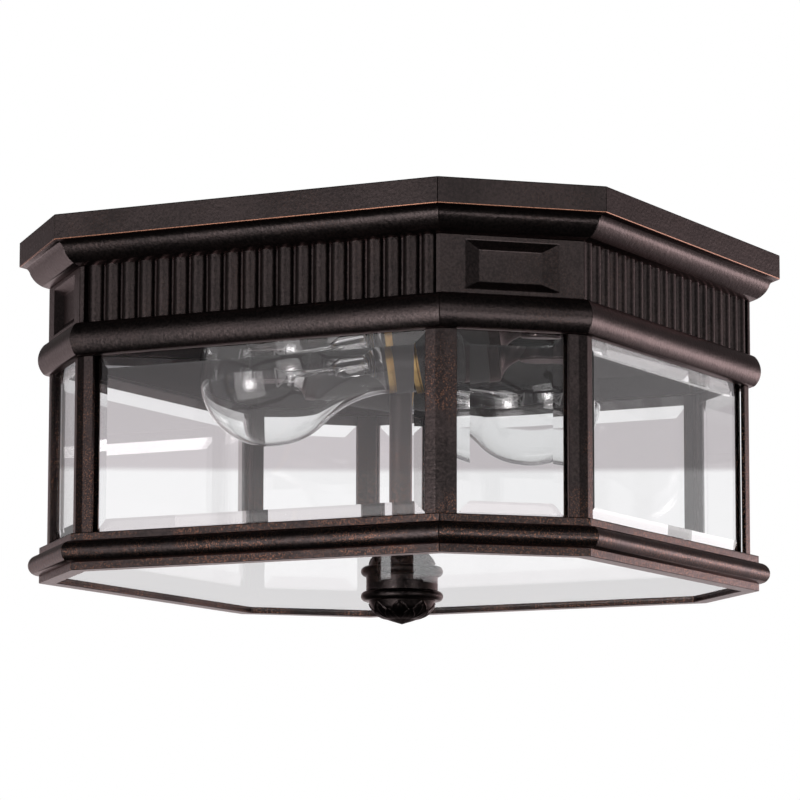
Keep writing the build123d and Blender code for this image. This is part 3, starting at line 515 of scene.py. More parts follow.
def softened(outline, steps=4):
    """Round the corners of an outline of (inset, z, radius, wear), all in metres but the wear."""
    shares = [i / steps for i in range(steps + 1)]
    points = []
    for i, (x, z, radius, wear) in enumerate(outline):
        here = Vector((x, z))
        before = Vector(outline[i - 1][:2])
        after = Vector(outline[(i + 1) % len(outline)][:2])
        if radius <= 0:
            points.append((x, z, wear))
            continue
        start, end = (
            here + (other - here).normalized() * min(radius, ROUND_LIMIT * (other - here).length)
            for other in (before, after)
        )
        curve = [start.lerp(here, t) * (1 - t) + here.lerp(end, t) * t for t in shares]
        guard = [here + (start - here) * GUARD, *curve, here + (end - here) * GUARD]
        points += [(spot.x, spot.y, wear if spot in curve else 0.0) for spot in guard]
    return points


def plain(points):
    """Points of a curve as outline entries with no rounding or wear."""
    return [(x, z, 0.0, 0.0) for x, z in points]


def mesh_object(name, points, faces, wear=None, sharp=35.0):
    """A mesh object with outward faces, smooth up to a sharp angle."""
    mesh = bpy.data.meshes.new(name)
    mesh.from_pydata([tuple(p) for p in points], [], faces)
    if wear is not None:
        layer = mesh.attributes.new("wear", "FLOAT", "POINT")
        layer.data.foreach_set("value", wear)
    work = bmesh.new()
    work.from_mesh(mesh)
    bmesh.ops.recalc_face_normals(work, faces=work.faces)
    work.to_mesh(mesh)
    work.free()
    mesh.shade_smooth()
    mesh.set_sharp_from_angle(angle=math.radians(sharp))
    made = bpy.data.objects.new(name, mesh)
    bpy.context.scene.collection.objects.link(made)
    return made


def dress(made, node, body):
    """Let a piece stand for a node: its body, its slot and its finish."""
    made.data.materials.clear()
    made.data.materials.append(FINISHES[SLOTS[node]])
    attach(made, body)
    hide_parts(node)
    return made


def moulding(name, node, outline, sizes):
    """A mitred ring round the lantern with a fine seam at each of its eight corners."""
    profile = softened(outline)
    stages = (-1, 0, 1)
    points, wear = [], []
    for index in range(SIDES):
        for stage in stages:
            for inset, z, rubbed in profile:
                if stage == 0:
                    spot = plan_corner(index, inset + sizes.seam_depth)
                else:
                    spot = plan_corner(index, inset)
                    spot += along(45 * (index + (stage > 0))) * stage * sizes.seam_width
                points.append((spot.x, spot.y, z))
                wear.append(rubbed)
    rings, count = SIDES * len(stages), len(profile)
    faces = []
    for ring in range(rings):
        here, there = ring * count, (ring + 1) % rings * count
        for i in range(count):
            n = (i + 1) % count
            faces.append((here + i, here + n, there + n, there + i))
    return dress(mesh_object(name, points, faces, wear), node, "fixture")


def lathe(name, outline, placing, sides=96, closed=False, radius_at=None, sharp=35.0):
    """A turned piece: an outline of (radius, distance) spun about the placing's third axis."""
    points, rows = [], []
    for radius, distance in outline:
        if radius < 1e-7:
            rows.append([len(points)])
            points.append(placing @ Vector((0, 0, distance)))
            continue
        row = []
        for k in range(sides):
            angle = 2 * math.pi * k / sides
            reach = radius_at(radius, distance, angle) if radius_at else radius
            spot = Vector((reach * math.cos(angle), reach * math.sin(angle), distance))
            row.append(len(points))
            points.append(placing @ spot)
        rows.append(row)
    pairs = list(zip(rows, rows[1:] + rows[:1])) if closed else list(zip(rows, rows[1:]))
    faces = []
    for first, second in pairs:
        for k in range(sides):
            n = (k + 1) % sides
            ends = ((first, k), (first, n), (second, n), (second, k))
            loop = list(dict.fromkeys(row[j % len(row)] for row, j in ends))
            if len(loop) > 2:
                faces.append(loop)
    return mesh_object(name, points, faces, sharp=sharp)


def tube(points, radius, sides=8):
    """Vertices and faces of a round wire along points, closed at its ends."""
    spots = [Vector(p) for p in points]
    verts, faces = [], []
    side = None
    for i, spot in enumerate(spots):
        ahead = spots[min(i + 1, len(spots) - 1)] - spots[max(i - 1, 0)]
        ahead.normalize()
        if side is None:
            side = ahead.orthogonal().normalized()
        side = (side - ahead * side.dot(ahead)).normalized()
        other = ahead.cross(side)
        for k in range(sides):
            angle = 2 * math.pi * k / sides
            verts.append(spot + (side * math.cos(angle) + other * math.sin(angle)) * radius)
    for i in range(len(spots) - 1):
        for k in range(sides):
            n = (k + 1) % sides
            faces.append((i * sides + k, i * sides + n, (i + 1) * sides + n, (i + 1) * sides + k))
    faces.append(tuple(range(sides)))
    faces.append(tuple(reversed(range((len(spots) - 1) * sides, len(spots) * sides))))
    return verts, faces


def upright_solid(name, outline, low, high):
    """An upright solid from a plan outline."""
    count = len(outline)
    points = [(p[0], p[1], low) for p in outline] + [(p[0], p[1], high) for p in outline]
    faces = [(i, (i + 1) % count, count + (i + 1) % count, count + i) for i in range(count)]
    faces += [tuple(range(count)), tuple(range(count, 2 * count))]
    return mesh_object(name, points, faces)


def rounded(made, width, least=12.0):
    """Round the edges of a piece that turn by more than the least angle."""
    work = bmesh.new()
    work.from_mesh(made.data)
    edges = [e for e in work.edges if e.is_manifold and e.calc_face_angle(0.0) > math.radians(least)]
    bmesh.ops.bevel(
        work, geom=edges, offset=width, segments=2, profile=0.5, affect="EDGES", clamp_overlap=True
    )
    work.to_mesh(made.data)
    work.free()
    made.data.shade_flat()


def lamp_placing(number):
    """Placing of a lamp: third axis along it from its arm, first axis level."""
    joint = JOINTS[f"lamp_{number}_turn"]
    axis = Vector(joint["axis"]).normalized()
    level = Vector((0, 0, 1)).cross(axis).normalized()
    turned = Matrix((level, axis.cross(level), axis)).transposed().to_4x4()
    return Matrix.Translation(Vector(joint["pos_m"])) @ turned


class LANTERN_OT_finishes(bpy.types.Operator):
    """Make the finishes and give each one to the frame's nodes of its slot."""

    bl_idname = "lantern.finishes"
    bl_label = "Finishes"

    def execute(self, context):
        colours = context.scene.lantern_colours
        for slot, maker in FINISH_MAKERS.items():
            FINISHES[slot] = maker(colours)
        for node, shown in frame["nodes"].items():
            shown.data.materials.clear()
            shown.data.materials.append(FINISHES[SLOTS[node]])
        for maker, nodes in NODE_FINISH_MAKERS.items():
            finish = maker(colours)
            for node in nodes:
                frame["nodes"][node].data.materials[0] = finish
        return {"FINISHED"}


class LANTERN_OT_mouldings(bpy.types.Operator):
    """Build the rim, cornice, belt and lower frame as mitred mouldings."""

    bl_idname = "lantern.mouldings"
    bl_label = "Mouldings"

    def execute(self, context):
        sizes = context.scene.lantern_sizes
        edge = sizes.edge_round
        moulding("rim", "ceiling_rim", self.rim_outline(edge), sizes)
        moulding("cornice", "cornice_moulding", self.cornice_outline(), sizes)
        moulding("belt", "belt_moulding", self.belt_outline(), sizes)
        moulding("lower_frame_ring", "lower_frame", self.lower_frame_outline(edge), sizes)
        return {"FINISHED"}

    def rim_outline(self, edge):
        """A plain band with a rubbed lower edge and a flange inside."""
        wall, flange, flange_height = 2.5 * MM, 8 * MM, 2 * MM
        lower_edge = 0.5 * MM
        return [
            (0, 0, edge, 0.3),
            (0, Z_RIM, lower_edge, 0.9),
            (flange, Z_RIM, 0, 0),
            (flange, Z_RIM + flange_height, 0, 0),
            (wall, Z_RIM + flange_height, 0, 0),
            (wall, 0, edge, 0.2),
        ]

    def cornice_outline(self):
        """An ogee, a cove over an ovolo, with a flange over the frieze."""
        start, back = 1.2 * MM, 6.9 * MM
        flange, flange_height = 20.5 * MM, 2.3 * MM
        cove_hollow, ovolo_bulge = 0.75 * MM, -1.3 * MM
        cove_end = (4.6 * MM, Z_RIM - 3.3 * MM)
        ovolo_end = (BODY_INSET - 0.15 * MM, Z_OGEE)
        cove = bow((start, Z_RIM), cove_end, cove_hollow, 8)
        ovolo = bow(cove_end, ovolo_end, ovolo_bulge, 16)
        return plain(cove) + plain(ovolo[1:]) + [
            (flange, Z_OGEE, 0, 0),
            (flange, Z_OGEE + flange_height, 0, 0),
            (ovolo_end[0], Z_OGEE + flange_height, 0, 0),
            (back, cove_end[1], 0, 0),
            (back, Z_RIM, 0, 0),
        ]

    def belt_outline(self):
        """A rounded band of three tangent arcs, stepped inside over the panes."""
        proud, end = 4.5 * MM, 3.0 * MM
        middle = (Z_FRIEZE + Z_BELT) / 2
        rise = (Z_FRIEZE - Z_BELT) / 2 - end
        crown = (proud**2 + rise**2 - end**2) / (2 * (proud - end))
        swing = math.degrees(math.atan2(rise, crown - proud))
        curve = arc((0, middle + rise), end, 90, swing - 90, 6)
        curve += arc((proud - crown, middle), crown, swing, -2 * swing, 14)[1:]
        curve += arc((0, middle - rise), end, -swing, swing - 90, 6)[1:]
        ledge = SEAT_INSET + 7 * MM
        ledge_z = Z_FRIEZE - 10.3 * MM
        return plain([(BODY_INSET - x, z) for x, z in curve]) + [
            (SEAT_INSET, Z_BELT, 0, 0),
            (SEAT_INSET, ledge_z, 0, 0),
            (ledge, ledge_z, 0, 0),
            (ledge, Z_FRIEZE, 0, 0),
        ]

    def lower_frame_outline(self, edge):
        """A band over a half-round roll and a lip, with a floor shelf and a seat for the panes."""
        fillet, roll_bulge = 3.3 * MM, -4.7 * MM
        lip, shelf = 17.6 * MM, 23.0 * MM
        seat_back, seat_z = 19.25 * MM, Z_BAND - 4.3 * MM
        inner_z = Z_BAND - 1.5 * MM
        roll = bow((BAND_INSET, Z_BAND - fillet), (BAND_INSET, Z_LIP + fillet), roll_bulge, 18)
        return plain(roll) + [
            (BAND_INSET, Z_LIP, edge, 0.3),
            (lip, Z_LIP, edge, 0.15),
            (lip, Z_SHELF, 0, 0),
            (shelf, Z_SHELF, 0, 0),
            (shelf, inner_z, edge, 0),
            (seat_back, inner_z, 0, 0),
            (seat_back, seat_z, 0, 0),
            (SEAT_INSET, seat_z, 0, 0),
            (SEAT_INSET, Z_BAND, 0, 0),
            (BAND_INSET, Z_BAND, edge, 0.3),
        ]


class LANTERN_OT_reeds(bpy.types.Operator):
    """Build the four reeded frieze panels."""

    bl_idname = "lantern.reeds"
    bl_label = "Reeded panels"

    end_gap = 2.35 * MM

    def execute(self, context):
        sizes = context.scene.lantern_sizes
        half = side_end(BODY_INSET) - self.end_gap
        pitch = 2 * half / sizes.reed_count
        radius = (sizes.reed_width**2 / 4 + sizes.reed_proud**2) / (2 * sizes.reed_proud)
        swing = math.degrees(math.asin(min(1.0, sizes.reed_width / 2 / radius)))
        crest = HALF_WIDTH - BODY_INSET
        outline = [(half, crest - sizes.reed_proud)]
        for reed in reversed(range(sizes.reed_count)):
            middle = -half + (reed + 0.5) * pitch
            outline += arc((middle, crest - radius), radius, 90 - swing, 2 * swing, 14)
        outline += [(-half, crest - sizes.reed_proud)]
        outline += [(-half, HALF_WIDTH - SHELL_INSET), (half, HALF_WIDTH - SHELL_INSET)]
        for side, turn in WIDE_SIDES.items():
            plan = [along(turn) * a + outward(turn) * b for a, b in outline]
            made = upright_solid(f"reeds_{side}", plan, Z_FRIEZE, Z_OGEE)
            dress(made, f"reeded_panel_{side}", "fixture")
        return {"FINISHED"}


class LANTERN_OT_corner_panels(bpy.types.Operator):
    """Build the four corner panels with their sunken fields."""

    bl_idname = "lantern.corner_panels"
    bl_label = "Corner panels"

    # Half width and half height of the field at the face and at its sunken floor, and its depth
    field_half = (20.7 * MM, 10.25 * MM)
    sunk_half = (13.9 * MM, 6.85 * MM)
    sunk_depth = 3.2 * MM
    # How far the panel wraps round onto the wide sides
    wrap_round = 2.2 * MM

    def execute(self, context):
        sizes = context.scene.lantern_sizes
        face = CORNER_REACH - BODY_INSET
        half = (HALF_WIDTH - BODY_INSET - side_end(BODY_INSET)) / ROOT2
        wrap, block = self.wrap_round / ROOT2, (SHELL_INSET - BODY_INSET) / ROOT2
        back = CORNER_REACH - CORNER_SHELL_INSET
        shell = HALF_WIDTH - SHELL_INSET
        back_half = (shell - (ROOT2 * back - shell)) / ROOT2
        middle = (Z_FRIEZE + Z_OGEE) / 2
        rim = [(-half, Z_FRIEZE), (half, Z_FRIEZE), (half, Z_OGEE), (-half, Z_OGEE)]
        field, sunk = (
            [(a * wide, middle + b * high) for a, b in ((-1, -1), (1, -1), (1, 1), (-1, 1))]
            for wide, high in (self.field_half, self.sunk_half)
        )
        flank = [
            (half + wrap, face - wrap),
            (half + wrap - block, face - wrap - block),
            (back_half, back),
        ]
        spots = [(a, face, z) for a, z in rim] + [(a, face, z) for a, z in field]
        spots += [(a, face - self.sunk_depth, z) for a, z in sunk]
        for z in (Z_FRIEZE, Z_OGEE):
            spots += [(a, b, z) for a, b in flank] + [(-a, b, z) for a, b in flank]
        faces = self.faces()
        for side, turn in CORNER_SIDES.items():
            points = [along(turn) * a + outward(turn) * b + Vector((0, 0, z)) for a, b, z in spots]
            made = mesh_object(f"corner_block_{side}", points, faces)
            rounded(made, sizes.edge_round * 0.7)
            dress(made, f"corner_panel_{side}", "fixture")
        return {"FINISHED"}

    def faces(self):
        """Faces over the spots: rim 0 to 3, field 4 to 7, sunken floor 8 to 11, then the flanks."""
        right_low, left_low = (12, 13, 14), (15, 16, 17)
        right_high, left_high = (18, 19, 20), (21, 22, 23)
        faces = [
            (ring + i, ring + (i + 1) % 4, ring + 4 + (i + 1) % 4, ring + 4 + i)
            for ring in (0, 4)
            for i in range(4)
        ]
        faces += [(8, 9, 10, 11)]
        faces += [(1, 2, right_high[0], right_low[0]), (0, 3, left_high[0], left_low[0])]
        for low, high in ((right_low, right_high), (left_low, left_high)):
            faces += [(low[i], low[i + 1], high[i + 1], high[i]) for i in range(2)]
        faces += [(right_low[2], left_low[2], left_high[2], right_high[2])]
        faces += [(0, 1, *right_low, *reversed(left_low)), (3, 2, *right_high, *reversed(left_high))]
        return faces


class LANTERN_OT_posts(bpy.types.Operator):
    """Build the eight folded corner posts."""

    bl_idname = "lantern.posts"
    bl_label = "Corner posts"

    facet = 4.65 * MM
    wing = 4.75 * MM
    sheet = 2.0 * MM
    fold_round = 0.3 * MM

    def execute(self, context):
        c, s = math.cos(math.radians(MITRE)), math.sin(math.radians(MITRE))
        cut = self.facet / (2 * c)
        end = cut + self.wing
        inner = (end * c - self.sheet * s, -end * s - self.sheet * c)
        outline = [
            (-end * c, -end * s), (-cut * c, -cut * s), (cut * c, -cut * s), (end * c, -end * s),
            inner, (0, -self.sheet / c), (-inner[0], inner[1]),
        ]
        for index, name in enumerate(POST_NAMES):
            turn = MITRE + 45 * index
            corner = plan_corner(index, BODY_INSET)
            plan = [corner + along(turn) * a + outward(turn) * b for a, b in outline]
            made = upright_solid(f"corner_post_{name}", plan, Z_BAND, Z_BELT)
            rounded(made, self.fold_round)
            dress(made, f"post_{name}", "fixture")
        return {"FINISHED"}


class LANTERN_OT_finial(bpy.types.Operator):
    """Build the finial: a round bead over a pointed dome of leaves."""

    bl_idname = "lantern.finial"
    bl_label = "Finial"

    bore = 5.5 * MM
    bead = 2.2 * MM
    bead_reach = 18.5 * MM
    dome = 14.9 * MM
    # How far the shoulder draws in and drops, and how far the leaves below it bow out
    shoulder = (1.0 * MM, 2.9 * MM)
    bulge = 1.1 * MM
    # Radius where the tip starts, and heights of that edge and of the bore's end over the point
    tip_radius = 6.0 * MM
    tip_height = 2.1 * MM
    bore_height = 4.2 * MM
    # Rows of leaves: turn as a share of a leaf, start and length as shares of the dome, and level
    leaf_rows = ((0.0, 0.08, 0.5, 0.2), (0.5, 0.4, 0.45, 0.45))
    # Raised edges and midribs, in shares of a leaf's width and of its relief
    edge_width, edge_margin, rib_width = 0.045, 0.06, 0.03
    line_relief, rib_share = 0.55, 0.6
    # Below this radius the relief fades to the point
    fade_radius = 4 * MM

    def execute(self, context):
        sizes = context.scene.lantern_sizes
        z_dome = Z_FINIAL_TOP - 2 * self.bead
        bore_end = Z_TIP + self.bore_height
        shoulder = (self.dome - self.shoulder[0], z_dome - self.shoulder[1])
        tip_edge = (self.tip_radius, Z_TIP + self.tip_height)
        bead_middle = (self.bead_reach - self.bead, Z_FINIAL_TOP - self.bead)
        outline = [(0, bore_end), (self.bore, bore_end), (self.bore, Z_FINIAL_TOP)]
        outline += arc(bead_middle, self.bead, 90, -180, 16)
        outline += [(self.dome, z_dome)]
        outline += straight((self.dome, z_dome), shoulder, 8)
        outline += bow(shoulder, tip_edge, self.bulge, 28)[1:]
        outline += straight(tip_edge, (0, Z_TIP), 14)
        sector = 2 * math.pi / sizes.leaf_count

        def leafy(radius, distance, angle):
            """Swell the dome into two rows of leaves with raised edges and midribs."""
            above = distance > z_dome - 0.3 * MM
            in_bore = radius < self.bore + 0.1 * MM and distance > bore_end - 1e-6
            if above or in_bore:
                return radius
            fall = (z_dome - distance) / (z_dome - Z_TIP)
            relief = 0.0
            for offset, top, reach, level in self.leaf_rows:
                across = abs((angle / sector + offset) % 1.0 - 0.5)
                spread = 0.5 * min(1.0, max(0.0, (fall - top) / reach))
                edge = math.exp(-(((spread - across) / self.edge_width) ** 2))
                rib = self.rib_share * math.exp(-((across / self.rib_width) ** 2))
                if fall > top and across < spread + self.edge_margin:
                    relief = level + self.line_relief * max(edge, rib if across < spread else 0.0)
            return radius + sizes.leaf_proud * relief * min(1.0, radius / self.fade_radius)

        made = lathe("leaf_finial", outline, Matrix.Identity(4), 240, radius_at=leafy, sharp=50.0)
        dress(made, "finial", "finial")
        return {"FINISHED"}


class LANTERN_OT_lamps(bpy.types.Operator):
    """Build both lamps: envelope, screw base, glass mount and wires."""

    bl_idname = "lantern.lamps"
    bl_label = "Lamps"

    # Distances along the lamp from its arm
    base_from = 44.5 * MM
    collar_from = 66.28 * MM
    rim = 68.48 * MM
    # The screw thread
    pitch = 3.63 * MM
    thread_turns = 6
    # The glass mount's button, over the rim
    button = 42.4 * MM

    def execute(self, context):
        sizes = context.scene.lantern_sizes
        for number in "12":
            placing = lamp_placing(number)
            body = f"lamp_{number}"
            self.envelope(number, placing, body)
            self.base(number, placing, body)
            self.mount(number, placing, body)
            self.wires(number, placing, body, sizes.wire_radius)
        return {"FINISHED"}

    def envelope_side(self, skin):
        """Half outline of the envelope from its neck to its tip, a skin's thickness in."""
        neck, globe, blend = 14.0 * MM - skin, 30.2 * MM - skin, 46.0 * MM + skin
        neck_length, waist = 2.8 * MM, 2.8 * MM
        neck_top = self.rim + neck_length
        lean = neck + blend
        rise = math.sqrt((globe + blend) ** 2 - lean**2)
        swing = math.degrees(math.atan2(rise, lean))
        nose = neck_top + rise + waist
        side = [(neck, self.rim)]
        side += arc((lean, neck_top), blend, 180, -swing, 20)
        side += arc((0, neck_top + rise), globe, -swing, swing, 20)[1:]
        side += arc((0, nose), globe, 0, 90, 24)
        side[-1] = (0.0, nose + globe)
        return side

    def envelope(self, number, placing, body):
        """The blown glass, with its inner side."""
        wall = 0.8 * MM
        outline = self.envelope_side(0.0) + list(reversed(self.envelope_side(wall)))
        made = lathe(f"envelope_{number}", outline, placing, 128, closed=True, sharp=60.0)
        dress(made, f"lamp_envelope_{number}", body)

    def base(self, number, placing, body):
        """The screw base, with its thread and the collar under the glass."""
        root, depth, skin = 12.4 * MM, 0.8 * MM, 0.6 * MM
        collar, hole = 14.2 * MM, 4.6 * MM
        steps = self.thread_turns * 16
        start = (root, self.base_from)
        outline = [start] + straight(start, (root, self.collar_from), steps)
        outline += [(collar, self.collar_from), (collar, self.rim), (root - skin, self.rim)]
        outline += [
            (root - skin, self.base_from + skin),
            (hole, self.base_from + skin),
            (hole, self.base_from),
        ]

        def threaded(radius, distance, angle):
            """A rounded screw thread that fades out at both ends."""
            if abs(radius - root) > 1e-6:
                return radius
            run = (distance - self.base_from) / self.pitch
            fade = max(0.0, min(1.0, run, self.thread_turns - run))
            return radius + depth * fade * (0.5 + 0.5 * math.cos(2 * math.pi * run - angle))

        made = lathe(f"screw_base_{number}", outline, placing, 72, closed=True, radius_at=threaded)
        dress(made, f"lamp_base_{number}", body)

    def mount(self, number, placing, body):
        """The glass mount: a flared foot, a stem with a pinched end, a rod and a button."""
        rim = self.rim
        foot, flare, stem, pinch, rod = 12.9 * MM, 12.6 * MM, 4.6 * MM, 3.6 * MM, 1.5 * MM
        button_radius, button_cap = 2.2 * MM, 1.4 * MM
        outline = [(0, rim), (foot, rim), (foot, rim + 1.2 * MM)]
        outline += bow((flare, rim + 1.6 * MM), (stem, rim + 9 * MM), 1.4 * MM, 8)
        outline += [
            (stem, rim + 20 * MM),
            (pinch, rim + 22 * MM),
            (rod, rim + 25 * MM),
            (rod, rim + 41 * MM),
        ]
        outline += arc((0, rim + self.button), button_radius, -45, 135, 10)[:-1]
        outline += [(0, rim + self.button + button_cap)]
        dress(lathe(f"glass_mount_{number}", outline, placing, 48), f"lamp_mount_{number}", body)

    def wires(self, number, placing, body, wire):
        """Two lead wires, two supports from the button and a coiled filament between them."""
        support = wire * 0.7
        coil_pitch, coil_radius, coil_steps, filament = 0.55 * MM, 0.35 * MM, 8, 0.09 * MM
        # Millimetres from the rim: where the leads leave the mount, where they end, and the hooks
        feet, tips, hooks = (
            [Vector((way * x * MM, way * y * MM, self.rim + z * MM)) for way in (-1, 1)]
            for x, y, z in ((2.6, 0, 18), (13, 0, 45), (5, 3.5, 49))
        )
        button = Vector((0, 0, self.rim + self.button))
        runs = [(foot, tip, wire) for foot, tip in zip(feet, tips)]
        runs += [(button, hook, support) for hook in hooks]
        points, faces = [], []
        for start, end, radius in runs:
            self.add(points, faces, tube([start, end], radius))
        coil = []
        route = [tips[0], hooks[0], hooks[1], tips[1]]
        for start, end in zip(route, route[1:]):
            ahead = (end - start).normalized()
            side = ahead.orthogonal().normalized()
            other = ahead.cross(side)
            count = coil_steps * max(6, int((end - start).length / coil_pitch))
            for k in range(count):
                angle = 2 * math.pi * k / coil_steps
                spoke = side * math.cos(angle) + other * math.sin(angle)
                coil.append(start.lerp(end, k / count) + spoke * coil_radius)
        self.add(points, faces, tube(coil, filament, 5))
        made = mesh_object(f"wires_{number}", [placing @ p for p in points], faces)
        dress(made, f"lamp_filament_{number}", body)

    def add(self, points, faces, part):
        """Join one wire's mesh to the rest."""
        start = len(points)
        points.extend(part[0])
        faces.extend(tuple(start + i for i in face) for face in part[1])


class LANTERN_OT_stage(bpy.types.Operator):
    """Set up the floor, the studio light and the camera."""

    bl_idname = "lantern.stage"
    bl_label = "Stage"

    # Name, turn and rise in degrees, distance, width and height in metres, glow and shape
    softboxes = (
        ("key", -5, -19, 1.45, 1.35, 1.0, 2.0, "RECTANGLE"),
        ("key_middle", -4, -15, 1.42, 0.62, 0.62, 3.6, "DISK"),
        ("key_core", -4, -15, 1.40, 0.34, 0.34, 14.0, "DISK"),
        ("front_wall", -24, 14.5, 1.70, 0.95, 0.22, 1.3, "RECTANGLE"),
        ("right_wall", 47, 16.5, 1.70, 1.55, 0.22, 2.3, "RECTANGLE"),
        ("side", 66, -11.8, 1.60, 0.8, 0.5, 3.2, "RECTANGLE"),
        ("back_right", 150, -2, 1.60, 1.0, 0.3, 3.1, "RECTANGLE"),
    )
    light_colour = (1.0, 0.96, 0.965)

    # What glass and metal see, as stops of level and colour below and above the horizon.
    # The level is 0 straight down, 0.5 on the level and 1 straight up.
    seen_through = (
        (
            (0.0, (0.25, 0.24, 0.25)),
            (0.484, (0.25, 0.24, 0.25)),
            (0.491, (0.46, 0.445, 0.45)),
            (0.498, (0.52, 0.5, 0.51)),
            (0.503, (0.92, 0.91, 0.925)),
            (0.518, (0.92, 0.92, 0.93)),
        ),
        (
            (0.56, (0.59, 0.555, 0.575)),
            (0.58, (0.6, 0.565, 0.585)),
            (0.6, (0.7, 0.67, 0.685)),
            (0.63, (0.74, 0.71, 0.725)),
            (0.72, (0.5, 0.48, 0.49)),
            (1.0, (0.3, 0.29, 0.3)),
        ),
    )
    seen_in_metal = (
        (
            (0.0, (0.06, 0.06, 0.06)),
            (0.3, (0.12, 0.12, 0.12)),
            (0.38, (1.0, 0.98, 0.99)),
            (0.41, (1.13, 1.12, 1.13)),
            (0.45, (1.13, 1.12, 1.13)),
            (0.48, (1.0, 0.98, 0.99)),
        ),
        (
            (0.56, (0.56, 0.54, 0.55)),
            (0.577, (0.5, 0.485, 0.49)),
            (0.595, (0.16, 0.16, 0.16)),
            (1.0, (0.08, 0.08, 0.08)),
        ),
    )
    dark_flag = (0.3, 0.265, 0.27, 1.0)
    pale_wall = (1.8, 1.68, 1.72, 1.0)
    room_light = (0.45, 0.45, 0.45, 1.0)

    # The camera: turn, rise and roll in degrees, place in metres, lens and sensor in millimetres
    camera_angles = (27.98, -7.92, 0.11)
    camera_place = (840.2 * MM, -1583.8 * MM, -318.7 * MM)
    lens, sensor = 180.0, 36.0

    def execute(self, context):
        scene = context.scene
        scene.view_settings.view_transform = "Standard"
        self.floor(scene)
        self.sky(scene)
        for softbox in self.softboxes:
            self.softbox(scene, *softbox)
        self.camera(scene)
        return {"FINISHED"}

    def floor(self, scene):
        """A pale floor a storey below the ceiling."""
        reach, drop, cells = 4.0, -2.4, 8
        points = [
            (reach * (2 * i / cells - 1), reach * (2 * j / cells - 1), drop)
            for j in range(cells + 1)
            for i in range(cells + 1)
        ]
        row = cells + 1
        faces = [
            (j * row + i, j * row + i + 1, (j + 1) * row + i + 1, (j + 1) * row + i)
            for j in range(cells)
            for i in range(cells)
        ]
        made = mesh_object("studio_floor", points, faces)
        material, graph, place = new_finish("pale_floor")
        cloud = graph.noise(place, 2.0, 2.0)
        tone = graph.mix(cloud * 0.1, rgba(scene.lantern_colours.floor), (0.74, 0.74, 0.74, 1.0))
        sockets = {"Base Color": tone, "Roughness": 0.9}
        made.data.materials.append(finish_with(material, graph, sockets))
        made.visible_glossy = False

    def sky(self, scene):
        """White to the camera, while glass shows a white sweep below a grey wall.

        Metal shows that sweep mostly behind the lantern, and a pale wall to the left in front.
        """
        world = bpy.data.worlds.new("studio")
        scene.world = world
        world.use_nodes = True
        graph = Graph(world.node_tree)
        across, depth, rise = graph.split(graph.node("ShaderNodeTexCoord", output=0))
        above = graph.step(rise, 0.1193, 0.1212)
        level = rise * 0.5 + 0.5

        def sweep(tones):
            """One tone below the horizon and one above it."""
            ramps = [graph.node("ShaderNodeValToRGB", {"stops": stops}, {0: level}) for stops in tones]
            return graph.mix(above, *ramps)

        flag = graph.step(across, -0.6, -0.65) * graph.step(across, -0.88, -0.84)
        flag = flag * graph.step(depth, 0.0, 0.1)
        glass_sees = graph.mix(flag, sweep(self.seen_through), self.dark_flag)
        behind = graph.step(depth, 0.32, 0.72)
        bright = (0.18 + behind * 0.82) * (1.0 + graph.step(across, -0.1, 0.3) * 0.6)
        wall = graph.step(depth, -0.7, -0.8) * graph.step(across, -0.36, -0.48)
        wall = wall * graph.step(rise, 0.175, 0.125) * graph.step(rise, -0.09, -0.04)
        metal_sees = graph.mix(bright, BLACK, sweep(self.seen_in_metal))
        metal_sees = graph.mix(wall, metal_sees, self.pale_wall)
        shade = graph.node("ShaderNodeBackground", None, {"Color": self.room_light})
        for kind, colour in (("Glossy", metal_sees), ("Transmission", glass_sees), ("Camera", WHITE)):
            ray = graph.node("ShaderNodeLightPath", output=f"Is {kind} Ray")
            seen = graph.node("ShaderNodeBackground", None, {"Color": colour})
            shade = graph.node("ShaderNodeMixShader", None, {0: ray, 1: shade, 2: seen})
        graph.node("ShaderNodeOutputWorld", None, {"Surface": shade})

    def softbox(self, scene, name, turn, rise, distance, width, height, glow, shape):
        """A soft area light that faces the lantern's middle and glows as bright as the number says."""
        light = bpy.data.lights.new(name, "AREA")
        light.shape = shape
        light.size = width
        light.size_y = height
        light.color = self.light_colour
        light.energy = glow * math.pi * width * height * (math.pi / 4 if shape == "DISK" else 1)
        lamp = bpy.data.objects.new(name, light)
        scene.collection.objects.link(lamp)
        middle = Vector((0, 0, (CAD_BOX[0][2] + CAD_BOX[1][2]) / 2))
        rise = math.radians(rise)
        toward = outward(turn) * math.cos(rise) + Vector((0, 0, math.sin(rise)))
        lamp.location = middle + toward * distance
        lamp.rotation_euler = toward.to_track_quat("Z", "Y").to_euler()
        lamp.visible_camera = False

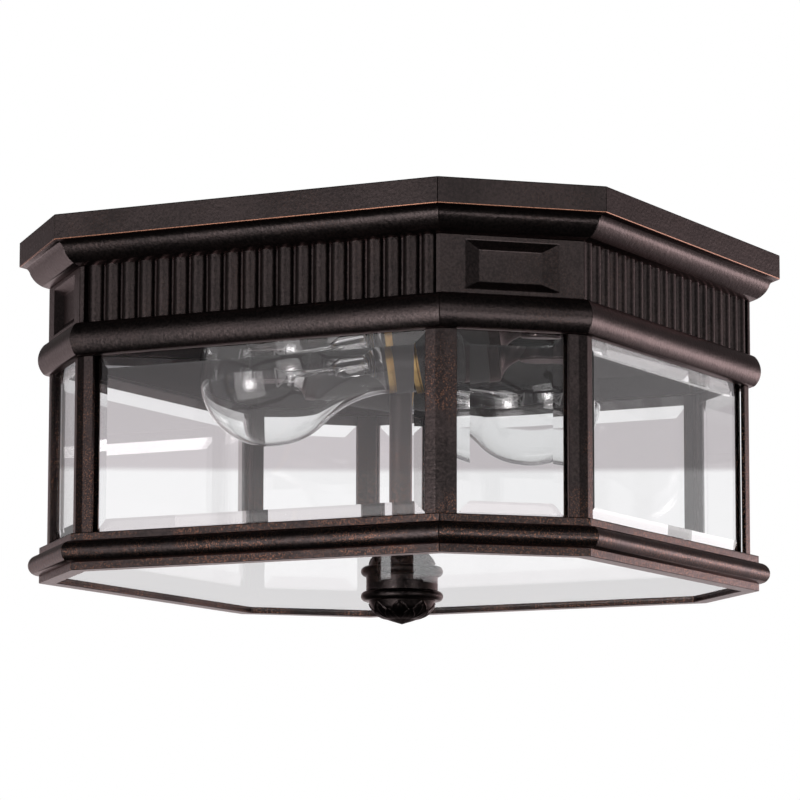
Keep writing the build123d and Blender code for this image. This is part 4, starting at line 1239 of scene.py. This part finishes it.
    def camera(self, scene):
        """The photograph's viewpoint: below and to the right of the front face."""
        turn, rise, roll = (math.radians(angle) for angle in self.camera_angles)
        level = math.cos(rise)
        back = Vector((math.sin(turn) * level, -math.cos(turn) * level, math.sin(rise)))
        right = (-back).cross(Vector((0, 0, 1))).normalized()
        up = right.cross(-back)
        across = right * math.cos(roll) + up * math.sin(roll)
        upward = up * math.cos(roll) - right * math.sin(roll)
        eye = bpy.data.cameras.new("photo_camera")
        eye.lens = self.lens
        eye.sensor_width = self.sensor
        holder = bpy.data.objects.new("photo_camera", eye)
        placing = Matrix((across, upward, back)).transposed().to_4x4()
        placing.translation = Vector(self.camera_place)
        holder.matrix_world = placing
        scene.collection.objects.link(holder)
        scene.camera = holder


STEPS = (
    LANTERN_OT_finishes,
    LANTERN_OT_mouldings,
    LANTERN_OT_reeds,
    LANTERN_OT_corner_panels,
    LANTERN_OT_posts,
    LANTERN_OT_finial,
    LANTERN_OT_lamps,
    LANTERN_OT_stage,
)


class LANTERN_PT_panel(bpy.types.Panel):
    """Sidebar panel that lists the lantern's steps, sizes and colours."""

    bl_idname = "LANTERN_PT_panel"
    bl_label = "Ceiling lantern"
    bl_space_type = "VIEW_3D"
    bl_region_type = "UI"
    bl_category = "Lantern"

    def draw(self, context):
        column = self.layout.column()
        for step in STEPS:
            column.operator(step.bl_idname)
        for group in (context.scene.lantern_sizes, context.scene.lantern_colours):
            for key in group.bl_rna.properties.keys():
                if key not in ("rna_type", "name"):
                    column.prop(group, key)


CLASSES = (LanternSizes, LanternColours, *STEPS, LANTERN_PT_panel)


def register():
    for each in CLASSES:
        bpy.utils.register_class(each)
    bpy.types.Scene.lantern_sizes = PointerProperty(type=LanternSizes)
    bpy.types.Scene.lantern_colours = PointerProperty(type=LanternColours)


def unregister():
    del bpy.types.Scene.lantern_colours
    del bpy.types.Scene.lantern_sizes
    for each in reversed(CLASSES):
        bpy.utils.unregister_class(each)


def main():
    register()
    for step in STEPS:
        area, verb = step.bl_idname.split(".")
        getattr(getattr(bpy.ops, area), verb)()


if __name__ == "__main__":
    main()
